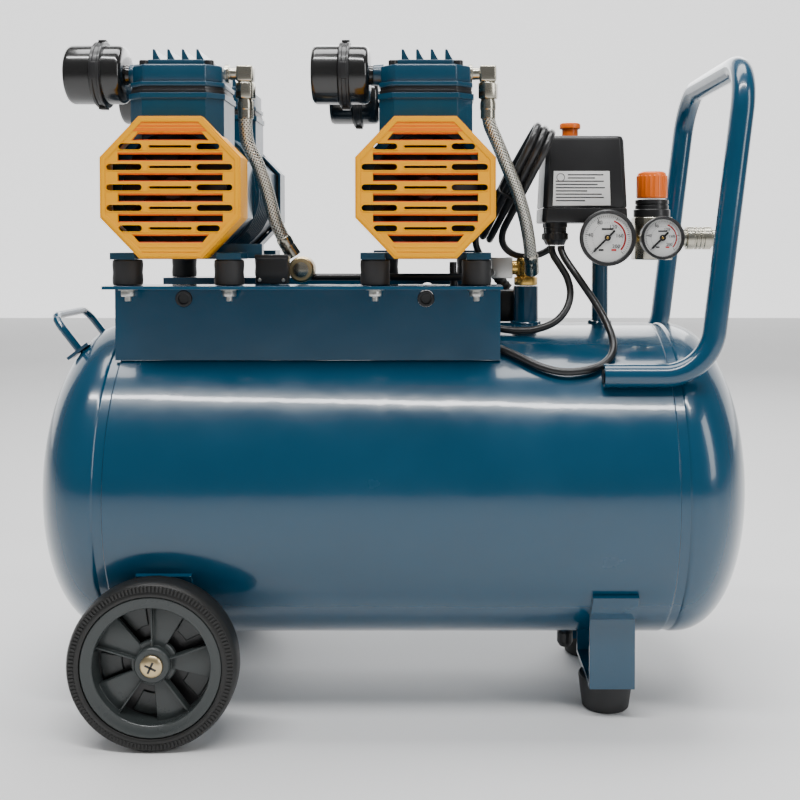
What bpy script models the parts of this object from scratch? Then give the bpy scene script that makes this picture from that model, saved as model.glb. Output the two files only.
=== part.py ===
"""Air compressor with two double-headed oil-free pumps on a horizontal tank.

Metres, +Z up. The origin is on the floor under the middle of the tank. The tank lies along X,
the wheels are at -X, the push handle is at +X, and the gauges face -Y.
"""
import math

import bmesh
import bpy
from mathutils import Matrix, Vector

# ---------------------------------------------------------------- driving dimensions
GAP = 0.0003                    # clearance between touching pieces

TANK_RADIUS = 0.150
TANK_WALL = 0.0025
TANK_CLEARANCE = 0.055          # tank's underside above the floor
TANK_AXIS_Z = TANK_CLEARANCE + TANK_RADIUS
TANK_TOP_Z = TANK_AXIS_Z + TANK_RADIUS
SHELL_HALF = 0.250              # half the length of the rolled shell
HEAD_SKIRT = 0.0125             # straight part of a dished head, with its lap
HEAD_DOME = 0.0695              # depth of the dished part
DOME_POWER = 0.87               # 1 would be an ellipse, less is squarer
JOGGLE_DEPTH = 0.0012           # how far the head's lap steps in under the shell
JOGGLE_LENGTH = 0.009
TANK_SIDES = 32

STUB_X = SHELL_HALF - 0.122                  # inlet pipe of the tank
STUB_RADIUS = 0.0123
STUB_TOP_Z = TANK_TOP_Z + 0.037
POST_X = SHELL_HALF - 0.0484                 # pipe that carries the pressure switch
POST_RADIUS = 0.008
POST_TOP_Z = TANK_TOP_Z + 0.0685
PIPE_BORE_SHARE = 0.7           # bore of a welded pipe over its outside
DRAIN_X = SHELL_HALF - 0.082
DRAIN_BOSS_RADIUS = 0.010
DRAIN_BOSS_LENGTH = 0.007

RAIL_TOP_Z = TANK_TOP_Z + 0.042
RAIL_SHEET = 0.003
RAIL_SKIRT_Y = 0.087            # inner face of a rail's skirt
RAIL_FLANGE_Y = 0.130           # outer edge of a rail's flange
RAIL_LEFT_X = -(SHELL_HALF + 0.0045)
RAIL_LENGTH = 0.352
RAIL_CABLE_HOLE_RADIUS = 0.0078
RAIL_CABLE_HOLE_DROP = 0.013    # hole's centre below the rail's top

HANDLE_RADIUS = 0.0105
HANDLE_LEG_Y = 0.116
HANDLE_FOOT_X = SHELL_HALF - 0.062
HANDLE_KNEE_X = SHELL_HALF + 0.0318
HANDLE_TOP_X = SHELL_HALF + 0.0648
HANDLE_TOP_Z = TANK_TOP_Z + 0.241
HANDLE_KNEE_BEND = 0.052
HANDLE_TOP_BEND = 0.045

LIFT_ROD_RADIUS = 0.0037
LIFT_HALF_SPAN = 0.049
LIFT_BAR_X = -(SHELL_HALF + 0.0755)
LIFT_BAR_Z = TANK_TOP_Z + 0.010
LIFT_FOOT_X = -(SHELL_HALF + 0.0495)
LIFT_FOOT_Z = TANK_TOP_Z - 0.024
LIFT_BEND = 0.014
LIFT_PAD_THICKNESS = 0.003
LIFT_PAD_WIDTH = 0.024
LIFT_PAD_LENGTH = 0.014

WHEEL_RADIUS = 0.0735
WHEEL_WIDTH = 0.028
WHEEL_X = -(SHELL_HALF - 0.0455)
WHEEL_FACE_Y = TANK_RADIUS + 0.018            # outer face of a wheel
TYRE_THICKNESS = 0.0125
AXLE_RADIUS = 0.005
AXLE_CLEARANCE = 0.0003         # running clearance between an axle bolt and its hub
AXLE_HEAD_RADIUS = 0.0098
AXLE_NUT_RADIUS = 0.0075
HUB_BOSS_RADIUS = 0.0155
HUB_BLADES = 5
WHEEL_SIDES = 28
HUB_RIM_THICKNESS = 0.0105
HUB_WEB_THICKNESS = 0.006

BRACKET_SHEET = 0.004
WHEEL_BRACKET_WIDTH = 0.049
WHEEL_BRACKET_X = -(SHELL_HALF - 0.051)
WHEEL_BRACKET_LEG_Y = 0.112
WHEEL_BRACKET_FLAP_ANGLE = 67.0  # degrees from straight down to the end of the flap
WHEEL_BRACKET_BOTTOM_Z = TANK_CLEARANCE - BRACKET_SHEET - 0.0015

FOOT_X = SHELL_HALF - 0.052
FOOT_Y = 0.068
FOOT_TOP_RADIUS = 0.0255
FOOT_BASE_RADIUS = 0.0220
FOOT_BRACKET_WIDTH = 0.041
FOOT_BRACKET_OUTER_Y = 0.108
FOOT_BRACKET_INNER_Y = 0.018
FOOT_BRACKET_FLAP_ANGLE = 57.0
FOOT_BRACKET_Z = TANK_CLEARANCE - 0.024         # underside of the foot bracket

DRAIN_KNOB_RADIUS = 0.008
DRAIN_KNOB_LENGTH = 0.0165

PUMP_1_X = RAIL_LEFT_X + 0.063
PUMP_SPACING = 0.2210
MOUNT_X = 0.0453                # pump feet, from the pump's centre
MOUNT_Y = 0.110
MOUNT_RADIUS = 0.0132
MOUNT_HEIGHT = 0.023
SHAFT_Z = RAIL_TOP_Z + MOUNT_HEIGHT + 0.063
STUD_RADIUS = 0.003
STUD_HOLE_CLEARANCE = 0.0004
STUD_LENGTH = 0.011             # below the flange
NUT_RADIUS = 0.0062
NUT_HEIGHT = 0.005

TERMINAL_BOX_OFFSET = 0.0665    # left side, from the first pump's centre
TERMINAL_BOX_LIFT = 0.0015      # clear of the rail
TERMINAL_BOX_FRONT_Y = 0.093
TERMINAL_BOX_SIZE = (0.0280, 0.0180, 0.0250)
LUG_RADIUS = 0.0125
LUG_THICKNESS = 0.006
LUG_INNER_X = 0.036             # inner end of a lug, clear of the fan cover
LUG_INNER_Y = 0.088             # inner edge of the bar that joins a pair of lugs
PEDESTAL_HALF = 0.026
CRANKCASE_HALF = 0.056          # half width of the octagonal crankcase
CRANKCASE_CUT = 0.031
CRANKCASE_Y = 0.112             # outer face of a crankcase, from the pump's middle
MOTOR_RADIUS = 0.059
MOTOR_HALF_LENGTH = 0.046
BARREL_HALF_X = 0.0415
BARREL_HALF_Y = 0.0385
BARREL_Y = 0.086
BARREL_CHAMFER = 0.0135
BARREL_FLANGE_OVERHANG = 0.0012
BARREL_FLANGE_THICKNESS = 0.005
BARREL_TOP_Z = SHAFT_Z + 0.084
FAN_CHAMBER_RADIUS = 0.050
SHAFT_BORE_RADIUS = 0.0075
ROTOR_CHAMBER_RADIUS = 0.045

GASKET_THICKNESS = 0.0085       # valve plate and gaskets, black
HEAD_BODY_HEIGHT = 0.0165
HEAD_INSET = 0.0016
HEAD_RAISED_HALF = 0.030
HEAD_RAISED_HEIGHT = 0.0065
FIN_COUNT = 4
FIN_PITCH = 0.0129
FIN_THICKNESS = 0.0022
FIN_HEIGHT = 0.0085

COVER_HALF_X = 0.061
COVER_HALF_Z = 0.0617
COVER_CUT_X = 0.034
COVER_CUT_Z = 0.0355
COVER_WALL = 0.0022
COVER_FACE = 0.0035
COVER_FACE_Y = 0.140
COVER_REAR_Y = 0.104
COVER_BARS = 5
COVER_BAR_PITCH = 0.0177
COVER_BAR_HEIGHT = 0.0103
COVER_GAP_HALF_X = 0.0455

FAN_RADIUS = 0.046
FAN_HUB_RADIUS = 0.013
FAN_BLADES = 5
FAN_THICKNESS = 0.010
SHAFT_RADIUS = 0.006
ROTOR_RADIUS = 0.030

FILTER_RADIUS = 0.0265
FILTER_BAND_RADIUS = 0.0300
FILTER_BAND_WIDTH = 0.009
FILTER_LEFT_X = -0.1028         # from the pump's centre
FILTER_RIGHT_X = -0.0515
FILTER_NECK_RADIUS = 0.0085
FILTER_Z = BARREL_TOP_Z + 0.0207
PORT_BOSS_RADIUS = 0.011

ELBOW_X = 0.0565
ELBOW_Z = BARREL_TOP_Z + 0.022
ELBOW_HALF = 0.0075
ELBOW_PIPE_RADIUS = 0.0055
UNION_NUT_RADIUS = 0.0088
UNION_NUT_HEIGHT = 0.0155
FERRULE_RADIUS = 0.0068
FERRULE_HEIGHT = 0.0125
HOSE_RADIUS = 0.0061

SWITCH_X = POST_X - 0.0196
SWITCH_HALF_BOTTOM = 0.0412
SWITCH_HALF_TOP = 0.0362
SWITCH_FRONT_Y = -0.038
SWITCH_BACK_Y = 0.032
SWITCH_BOTTOM_Z = POST_TOP_Z + 0.0305
SWITCH_TOP_Z = SWITCH_BOTTOM_Z + 0.0836
SWITCH_SLEEVE_RADIUS = 0.0078
KNOB_X = SWITCH_X - 0.0102
KNOB_Y = 0.002
KNOB_STEM_RADIUS = 0.0082
KNOB_FLANGE_RADIUS = 0.0104
KNOB_TRAVEL = 0.006
KNOB_HEIGHT = 0.0158
KNOB_TAIL = 0.012
RUNNING_CLEARANCE = 0.0003
GLAND_FRONT = (SWITCH_X - 0.0265, -0.022)   # X and Y of the gland for the motors' leads
GLAND_REAR = (SWITCH_X - 0.0245, 0.018)     # and for the mains lead
GLAND_RADIUS = 0.0110
GLAND_LENGTH = 0.0215

GAUGE_Z = POST_TOP_Z + 0.016
TANK_GAUGE_X = POST_X - 0.0026
TANK_GAUGE_RADIUS = 0.0265
TANK_GAUGE_FACE_Y = -0.068
LINE_GAUGE_X = POST_X + 0.0506
LINE_GAUGE_RADIUS = 0.0205
LINE_GAUGE_FACE_Y = -0.060
GAUGE_DEPTH = 0.024
GAUGE_WINDOW_DEPTH = 0.0040
GAUGE_RIM_SHARE = 0.86          # window radius over case radius
NEEDLE_THICKNESS = 0.0008
NEEDLE_ZERO_ANGLE = 225.0       # degrees from +X, seen from the front

REGULATOR_X = POST_X + 0.0514
REGULATOR_BODY_HALF = 0.0185
REGULATOR_BODY_BOTTOM_Z = GAUGE_Z - 0.0215
REGULATOR_BODY_TOP_Z = GAUGE_Z + 0.0285
REGULATOR_RING_RADIUS = 0.0165
REGULATOR_RING_HEIGHT = 0.0095
REGULATOR_KNOB_RADIUS = 0.0152
REGULATOR_KNOB_HEIGHT = 0.0265
REGULATOR_KNOB_LIFT = 0.0012
REGULATOR_SPINDLE_RADIUS = 0.0045
MANIFOLD_HALF = 0.0125

COUPLER_SHOULDER_X = REGULATOR_X + 0.0285      # right end of the shoulder behind the sleeve
COUPLER_BODY_RADIUS = 0.0085
COUPLER_SLEEVE_RADIUS = 0.0115
COUPLER_SLEEVE_X = COUPLER_SHOULDER_X + 0.005
COUPLER_SLEEVE_LENGTH = 0.0250
COUPLER_END_X = REGULATOR_X + 0.0645
COUPLER_SHOULDER_RADIUS = 0.0105

CHECK_VALVE_RADIUS = 0.0118
CHECK_VALVE_TOP_Z = STUB_TOP_Z + 0.0275
BLOCK_X = STUB_X - 0.0242
BLOCK_HALF = 0.0104
BLOCK_Z = STUB_TOP_Z + 0.018
CROSS_PIPE_Y = -0.055
CROSS_PIPE_LIFT = 0.0055         # pipe's centre above the rails
CROSS_PIPE_BEND = 0.015
CROSS_PIPE_RADIUS = 0.0035
UNION_PLACE = (PUMP_1_X + 0.1045, -0.0600, RAIL_TOP_Z + 0.013)
UNION_LENGTH = 0.022
UNION_RADIUS = 0.0122

LEAD_RADIUS = 0.0035
CORD_SIDES = 2                  # bevel resolution of a lead
HOSE_SIDES = 3

# Routes of the leads and hoses, each a list of points that the lead passes through.
MOTOR_LEAD_1_ROUTE = (
    (0.1600, -0.0260, 0.4318), (0.1603, -0.0264, 0.4275), (0.1630, -0.0298, 0.4205),
    (0.1680, -0.0350, 0.4120), (0.1763, -0.0430, 0.3990), (0.1892, -0.0530, 0.3783), (0.1985, -0.0640, 0.3600),
    (0.2025, -0.0775, 0.3437), (0.1990, -0.0900, 0.3325), (0.1890, -0.0990, 0.3245),
    (0.1720, -0.1050, 0.3200), (0.1520, -0.1060, 0.3190), (0.1320, -0.1000, 0.3235),
    (0.1130, -0.0890, 0.3315), (0.0950, -0.0790, 0.3380), (0.0700, -0.0720, 0.3420),
    (0.0300, -0.0690, 0.3440), (-0.0200, -0.0670, 0.3450), (-0.0650, -0.0640, 0.3480),
    (-0.0880, -0.0660, 0.3560), (-0.1030, -0.0730, 0.3680), (-0.1100, -0.0785, 0.3850),
    (-0.1110, -0.0795, 0.3980),
)
MOTOR_LEAD_2_ROUTE = (
    (0.1515, -0.0200, 0.4318), (0.1517, -0.0203, 0.4275), (0.1540, -0.0218, 0.4210),
    (0.1590, -0.0250, 0.4130),
    (0.1655, -0.0300, 0.4010), (0.1680, -0.0360, 0.3860), (0.1630, -0.0430, 0.3710),
    (0.1510, -0.0480, 0.3590), (0.1326, -0.0510, 0.3525), (0.1136, -0.0500, 0.3515),
    (0.0950, -0.0470, 0.3540), (0.0780, -0.0440, 0.3600), (0.0640, -0.0420, 0.3720),
    (0.0570, -0.0410, 0.3880), (0.0550, -0.0400, 0.4060), (0.0550, -0.0400, 0.4165),
)
MAINS_LEAD_ROUTE = (
    (0.1550, 0.0180, 0.4296), (0.1510, 0.0179, 0.4264), (0.1450, 0.0175, 0.4240),
    (0.1375, 0.0170, 0.4232), (0.1290, 0.0162, 0.4237), (0.1200, 0.0140, 0.4262),
    (0.1110, 0.0108, 0.4298), (0.0990, 0.0072, 0.4345),
)
HANK_LOW = (0.0880, 0.0070, 0.4400)     # middles of the hank's two round ends
HANK_HIGH = (0.1395, -0.0735, 0.5410)
HANK_WIDTH = 0.0450
HANK_THICKNESS = 0.0218
HOSE_1_ROUTE = (
    (0.0565, -0.0860, 0.5510), (0.0562, -0.0857, 0.5410), (0.0580, -0.0825, 0.5250),
    (0.0665, -0.0770, 0.5055), (0.0738, -0.0730, 0.4835), (0.0810, -0.0690, 0.4548),
    (0.0895, -0.0630, 0.4350), (0.0968, -0.0600, 0.4226),
)
HOSE_2_ROUTE = (
    (0.0565, -0.0860, 0.5510), (0.0587, -0.0850, 0.5415), (0.0640, -0.0820, 0.5300),
    (0.0745, -0.0750, 0.5060), (0.0838, -0.0660, 0.4860), (0.0923, -0.0550, 0.4609),
    (0.0975, -0.0440, 0.4390), (0.1010, -0.0310, 0.4190), (0.1028, -0.0197, 0.4065),
)

PLUG_LOW = (0.1115, 0.0310, 0.3546)
PLUG_SIZE = (0.0280, 0.0280, 0.0330)
PLUG_RELIEF_END = (0.0862, 0.0260, 0.4190)
PLUG_PIN_RADIUS = 0.0024
PLUG_PIN_LENGTH = 0.019
PLUG_PIN_SPACING = 0.019
PLUG_RIBS = 5

# ---------------------------------------------------------------- scene and materials
for old in list(bpy.data.objects):
    bpy.data.objects.remove(old, do_unlink=True)


def material(name, colour, roughness, metallic=0.0):
    made = bpy.data.materials.new(name)
    made.use_nodes = True
    shader = made.node_tree.nodes["Principled BSDF"]
    shader.inputs["Base Color"].default_value = (*colour, 1.0)
    shader.inputs["Roughness"].default_value = roughness
    shader.inputs["Metallic"].default_value = metallic
    made.diffuse_color = (*colour, 1.0)
    return made


TEAL = material("teal_paint", (0.0, 0.095, 0.19), 0.18)
YELLOW = material("yellow_plastic", (0.90, 0.42, 0.02), 0.35)
BLACK = material("black_plastic", (0.02, 0.02, 0.02), 0.4)
RUBBER = material("rubber", (0.025, 0.024, 0.023), 0.7)
GREY = material("grey_plastic", (0.055, 0.065, 0.068), 0.4)
NICKEL = material("nickel", (0.62, 0.60, 0.55), 0.25, 1.0)
BRASS = material("brass", (0.70, 0.50, 0.20), 0.3, 1.0)
ALUMINIUM = material("aluminium", (0.62, 0.60, 0.57), 0.45, 1.0)
ORANGE = material("orange_plastic", (0.95, 0.28, 0.01), 0.35)
BRAID = material("steel_braid", (0.55, 0.52, 0.45), 0.4, 1.0)
DIAL = material("dial_white", (0.85, 0.85, 0.83), 0.3)


# ---------------------------------------------------------------- building blocks
def face_outwards(bm):
    bmesh.ops.recalc_face_normals(bm, faces=bm.faces)
    if bm.calc_volume(signed=True) < 0:
        bmesh.ops.reverse_faces(bm, faces=bm.faces)


def add(name, bm, finish, smooth=True):
    """Turn a bmesh into a named object."""
    face_outwards(bm)
    mesh = bpy.data.meshes.new(name)
    bm.to_mesh(mesh)
    bm.free()
    mesh.materials.append(finish)
    if smooth:
        mesh.shade_smooth()
        mesh.set_sharp_from_angle(angle=math.radians(35))
    made = bpy.data.objects.new(name, mesh)
    bpy.context.scene.collection.objects.link(made)
    return made


def copy_of(source, name, matrix):
    """A copy that shares the mesh and the modifiers of its source."""
    made = source.copy()
    made.name = name
    made.matrix_world = matrix @ source.matrix_world
    bpy.context.scene.collection.objects.link(made)
    return made


def frame_along(axis):
    """Matrix that turns +Z onto the axis."""
    return Vector(axis).to_track_quat("Z", "Y").to_matrix().to_4x4()


def turned(profile, axis=(0, 0, 1), centre=(0, 0, 0), sides=24):
    """A turned solid. The profile's points are (radius, height along the axis), bottom to top."""
    bm = bmesh.new()
    rings = []
    for radius, height in profile:
        if radius == 0:
            rings.append([bm.verts.new((0, 0, height))])
            continue
        ring = []
        for i in range(sides):
            angle = 2 * math.pi * i / sides
            ring.append(bm.verts.new((radius * math.cos(angle), radius * math.sin(angle), height)))
        rings.append(ring)
    for low, high in zip(rings, rings[1:]):
        if len(low) == len(high) == 1:
            continue
        for i in range(sides):
            j = (i + 1) % sides
            if len(low) == 1:
                bm.faces.new((low[0], high[j], high[i]))
            elif len(high) == 1:
                bm.faces.new((low[i], low[j], high[0]))
            else:
                bm.faces.new((low[i], low[j], high[j], high[i]))
    first, last = rings[0], rings[-1]
    if profile[0] == profile[-1]:
        bmesh.ops.remove_doubles(bm, verts=bm.verts, dist=1e-6)
    else:
        if len(first) > 1:
            bm.faces.new(list(reversed(first)))
        if len(last) > 1:
            bm.faces.new(last)
    bm.transform(Matrix.Translation(centre) @ frame_along(axis))
    return bm


def rod(radius, length, axis=(0, 0, 1), start=(0, 0, 0), sides=24):
    return turned(((radius, 0), (radius, length)), axis, start, sides)


def block(low, high):
    bm = bmesh.new()
    bmesh.ops.create_cube(bm, size=1.0)
    size = Vector(high) - Vector(low)
    middle = (Vector(high) + Vector(low)) / 2
    bm.transform(Matrix.Translation(middle) @ Matrix.Diagonal((*size, 1.0)))
    return bm


def prism(outline, low, high, plane="XZ"):
    """A flat outline extruded from low to high along the axis that the plane leaves out."""
    places = {
        "XZ": lambda u, v, w: (u, w, v),
        "XY": lambda u, v, w: (u, v, w),
        "YZ": lambda u, v, w: (w, u, v),
    }
    place = places[plane]
    bm = bmesh.new()
    face = bm.faces.new([bm.verts.new(place(u, v, low)) for u, v in outline])
    step = Vector(place(0, 0, high - low))
    grown = bmesh.ops.extrude_face_region(bm, geom=[face])
    moved = [part for part in grown["geom"] if isinstance(part, bmesh.types.BMVert)]
    bmesh.ops.translate(bm, vec=step, verts=moved)
    return bm


def hide(made):
    made.hide_render = True
    made.display_type = "WIRE"
    return made


def cutter(name, bm):
    return hide(add(name + "_tool", bm, BLACK, smooth=False))


def combine(target, tool, operation):
    step = target.modifiers.new(tool.name, "BOOLEAN")
    step.operation = operation
    step.solver = "EXACT"
    step.object = tool
    return target


def cut(target, name, bm):
    return combine(target, cutter(name, bm), "DIFFERENCE")


def join(target, name, bm):
    return combine(target, cutter(name, bm), "UNION")


def octagon(half_x, half_z, cut_x, cut_z, centre_x=0.0, centre_z=0.0):
    corners = (
        (half_x, half_z - cut_z), (half_x - cut_x, half_z),
        (cut_x - half_x, half_z), (-half_x, half_z - cut_z),
        (-half_x, cut_z - half_z), (cut_x - half_x, -half_z),
        (half_x - cut_x, -half_z), (half_x, cut_z - half_z),
    )
    return [(centre_x + u, centre_z + v) for u, v in corners]


def smooth_route(points, step):
    """Points about a step apart on a smooth curve through the route's points."""
    knots = [Vector(p) for p in points]
    ends = [2 * knots[0] - knots[1]] + knots + [2 * knots[-1] - knots[-2]]
    found = [knots[0]]
    for i in range(1, len(ends) - 2):
        before, start, end, after = ends[i - 1:i + 3]
        count = max(1, round((end - start).length / step))
        for j in range(1, count + 1):
            t = j / count
            found.append(0.5 * (
                2 * start + (end - before) * t
                + (2 * before - 5 * start + 4 * end - after) * t ** 2
                + (3 * start - before - 3 * end + after) * t ** 3
            ))
    return found


def tube(name, points, radius, finish, sides):
    """A round tube along points, with flat ends."""
    curve = bpy.data.curves.new(name, "CURVE")
    curve.dimensions = "3D"
    curve.bevel_depth = radius
    curve.bevel_resolution = sides
    curve.use_fill_caps = True
    curve.materials.append(finish)
    spline = curve.splines.new("POLY")
    spline.points.add(len(points) - 1)
    for point, place in zip(spline.points, points):
        point.co = (*place, 1.0)
    made = bpy.data.objects.new(name, curve)
    bpy.context.scene.collection.objects.link(made)
    return made


def bent(corners, bend, steps=4):
    """Points along straight runs whose corners are rounded to the bend radius."""
    points = [Vector(corners[0])]
    for before, corner, after in zip(corners, corners[1:], corners[2:]):
        corner = Vector(corner)
        back = (Vector(before) - corner).normalized()
        ahead = (Vector(after) - corner).normalized()
        half = back.angle(ahead) / 2
        setback = bend / math.tan(half)
        middle = corner + (back + ahead).normalized() * bend / math.sin(half)
        start = (corner + back * setback - middle).normalized()
        end = (corner + ahead * setback - middle).normalized()
        for i in range(steps + 1):
            points.append(middle + bend * start.slerp(end, i / steps))
    points.append(Vector(corners[-1]))
    return points


def tube_mesh(points, radius, sides):
    """The same tube as a closed mesh, for joining to other shapes."""
    bm = bmesh.new()
    rings = []
    side = None
    for i, place in enumerate(points):
        ahead = points[min(i + 1, len(points) - 1)] - points[max(i - 1, 0)]
        ahead.normalize()
        if side is None:
            side = ahead.orthogonal().normalized()
        side = (side - ahead * side.dot(ahead)).normalized()
        up = ahead.cross(side)
        ring = []
        for j in range(sides):
            angle = 2 * math.pi * j / sides
            ring.append(bm.verts.new(place + radius * (math.cos(angle) * side + math.sin(angle) * up)))
        rings.append(ring)
    for low, high in zip(rings, rings[1:]):
        for j in range(sides):
            k = (j + 1) % sides
            bm.faces.new((low[j], low[k], high[k], high[j]))
    bm.faces.new(list(reversed(rings[0])))
    bm.faces.new(rings[-1])
    return bm


def merged(*parts):
    """Several bmeshes in one, for pieces that a Boolean takes together."""
    bm = bmesh.new()
    for part in parts:
        face_outwards(part)
        mesh = bpy.data.meshes.new("part")
        part.to_mesh(mesh)
        part.free()
        bm.from_mesh(mesh)
        bpy.data.meshes.remove(mesh)
    return bm


def on_tank(across, lift=GAP):
    """Height of a point that lies a lift above the tank at that distance from its middle."""
    reach = TANK_RADIUS + lift
    return TANK_AXIS_Z + math.sqrt(reach ** 2 - across ** 2)


# ---------------------------------------------------------------- tank
def dome_points(radius, depth, start, steps):
    """Outline of the dished part from its edge to its pole."""
    points = []
    for i in range(steps):
        angle = math.pi / 2 * i / steps
        points.append((radius * math.cos(angle) ** DOME_POWER, start + depth * math.sin(angle) ** DOME_POWER))
    points.append((0.0, start + depth))
    return points


def head_profile(outer):
    """Outline of a dished head from its mouth to its pole, as (radius, distance from the shell)."""
    radius = TANK_RADIUS if outer else TANK_RADIUS - TANK_WALL
    dome = HEAD_DOME if outer else HEAD_DOME - TANK_WALL
    step = JOGGLE_DEPTH
    points = [(radius - step, 0.0), (radius - step, JOGGLE_LENGTH), (radius, JOGGLE_LENGTH + step)]
    points += dome_points(radius, dome, HEAD_SKIRT, 6 if outer else 3)
    return points


def make_tank():
    inner = TANK_RADIUS - TANK_WALL
    profile = (
        (inner, -SHELL_HALF), (TANK_RADIUS, -SHELL_HALF), (TANK_RADIUS, SHELL_HALF),
        (inner, SHELL_HALF), (inner, -SHELL_HALF),
    )
    shell = add("tank_shell", turned(profile, (1, 0, 0), (0, 0, TANK_AXIS_Z), TANK_SIDES), TEAL)
    inside_z = TANK_AXIS_Z + inner - 0.001
    pipes = (("inlet", STUB_X, STUB_RADIUS, STUB_TOP_Z), ("post", POST_X, POST_RADIUS, POST_TOP_Z))
    for name, x, radius, top in pipes:
        join(shell, name, rod(radius, top - inside_z, (0, 0, 1), (x, 0, inside_z), 14))
        below = 0.010
        bore = rod(radius * PIPE_BORE_SHARE, top - inside_z + 2 * below, (0, 0, 1), (x, 0, inside_z - below), 10)
        cut(shell, name + "_bore", bore)
    boss_z = TANK_AXIS_Z - TANK_RADIUS - DRAIN_BOSS_LENGTH
    join(shell, "drain_boss", rod(DRAIN_BOSS_RADIUS, DRAIN_BOSS_LENGTH + 0.002, (0, 0, 1), (DRAIN_X, 0, boss_z), 12))
    cut(shell, "drain_bore", rod(0.0035, 0.020, (0, 0, 1), (DRAIN_X, 0, boss_z - 0.005), 8))
    for name, direction in (("tank_head_left", -1), ("tank_head_right", 1)):
        outline = head_profile(True) + list(reversed(head_profile(False)))
        outline.append(outline[0])
        start = (direction * (SHELL_HALF + GAP), 0, TANK_AXIS_Z)
        add(name, turned(outline, (direction, 0, 0), start, TANK_SIDES), TEAL)


# ---------------------------------------------------------------- mounting rails
def make_rail(name, side):
    """An angle of folded sheet: a skirt that stands on the tank and a flange bent outwards."""
    inner = RAIL_SKIRT_Y
    outer = RAIL_FLANGE_Y
    foot = on_tank(inner)
    outline = [
        (side * inner, foot), (side * (inner + RAIL_SHEET), foot),
        (side * (inner + RAIL_SHEET), RAIL_TOP_Z - RAIL_SHEET), (side * outer, RAIL_TOP_Z - RAIL_SHEET),
        (side * outer, RAIL_TOP_Z), (side * inner, RAIL_TOP_Z),
    ]
    rail = add(name, prism(outline, RAIL_LEFT_X, RAIL_LEFT_X + RAIL_LENGTH, "YZ"), TEAL)
    holes = []
    for pump_x in (PUMP_1_X, PUMP_1_X + PUMP_SPACING):
        for foot_side in (-1, 1):
            start = (pump_x + foot_side * MOUNT_X, side * MOUNT_Y, RAIL_TOP_Z - 2 * RAIL_SHEET)
            holes.append(rod(STUD_RADIUS + STUD_HOLE_CLEARANCE, 4 * RAIL_SHEET, (0, 0, 1), start, 12))
        start = (pump_x, side * (inner - RAIL_SHEET), RAIL_TOP_Z - RAIL_CABLE_HOLE_DROP)
        holes.append(rod(RAIL_CABLE_HOLE_RADIUS, 3 * RAIL_SHEET, (0, side, 0), start, 16))
    cut(rail, name + "_holes", merged(*holes))


# ---------------------------------------------------------------- handles
def make_push_handle():
    """One bent tube: a foot along the tank, a leaning leg, the top bar, and the same back again."""
    foot_z = on_tank(HANDLE_LEG_Y, HANDLE_RADIUS + 2 * GAP)
    corners = [
        (HANDLE_FOOT_X, -HANDLE_LEG_Y, foot_z), (HANDLE_KNEE_X, -HANDLE_LEG_Y, foot_z),
        (HANDLE_TOP_X, -HANDLE_LEG_Y, HANDLE_TOP_Z), (HANDLE_TOP_X, HANDLE_LEG_Y, HANDLE_TOP_Z),
        (HANDLE_KNEE_X, HANDLE_LEG_Y, foot_z), (HANDLE_FOOT_X, HANDLE_LEG_Y, foot_z),
    ]
    points = bent(corners, HANDLE_TOP_BEND)
    tube("push_handle", points, HANDLE_RADIUS, TEAL, 3)


def make_lift_handle():
    """A bent rod whose two ends stand on small pads on the left head."""
    corners = [
        (LIFT_FOOT_X, -LIFT_HALF_SPAN, LIFT_FOOT_Z), (LIFT_BAR_X, -LIFT_HALF_SPAN, LIFT_BAR_Z),
        (LIFT_BAR_X, LIFT_HALF_SPAN, LIFT_BAR_Z), (LIFT_FOOT_X, LIFT_HALF_SPAN, LIFT_FOOT_Z),
    ]
    handle = add("lift_handle", tube_mesh(bent(corners, LIFT_BEND), LIFT_ROD_RADIUS, 10), TEAL)
    lean = Vector((LIFT_BAR_X - LIFT_FOOT_X, 0, LIFT_BAR_Z - LIFT_FOOT_Z)).normalized()
    across = Vector((-lean.z, 0, lean.x))
    for name, side in (("near_pad", -1), ("far_pad", 1)):
        pad = block(
            (-LIFT_PAD_WIDTH / 2, -LIFT_PAD_LENGTH / 2, 0), (LIFT_PAD_WIDTH / 2, LIFT_PAD_LENGTH / 2, LIFT_PAD_THICKNESS)
        )
        turn = Matrix((across, (0, 1, 0), lean)).transposed().to_4x4()
        pad.transform(Matrix.Translation((LIFT_FOOT_X, side * LIFT_HALF_SPAN, LIFT_FOOT_Z)) @ turn)
        join(handle, name, pad)
    # What would reach into the tank is cut away along the head's own outside.
    dome = [(0.0, -0.040), (TANK_RADIUS + GAP, -0.040)]
    dome += dome_points(TANK_RADIUS + GAP, HEAD_DOME + GAP, 0.0, 8)
    start = (-(SHELL_HALF + GAP + HEAD_SKIRT), 0, TANK_AXIS_Z)
    cut(handle, "lift_handle_seat", turned(dome, (-1, 0, 0), start, TANK_SIDES))


# ---------------------------------------------------------------- brackets and feet
def tank_arc(start_degrees, end_degrees, lift, steps):
    """Points (y, z) round the tank, with angles from straight down, whose chords keep the lift."""
    reach = (TANK_RADIUS + lift) / math.cos(math.radians(end_degrees - start_degrees) / steps / 2)
    points = []
    for i in range(steps + 1):
        angle = math.radians(start_degrees + (end_degrees - start_degrees) * i / steps)
        points.append((reach * math.sin(angle), TANK_AXIS_Z - reach * math.cos(angle)))
    return points


def angle_at(across, lift):
    return math.degrees(math.asin(across / (TANK_RADIUS + lift)))


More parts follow.
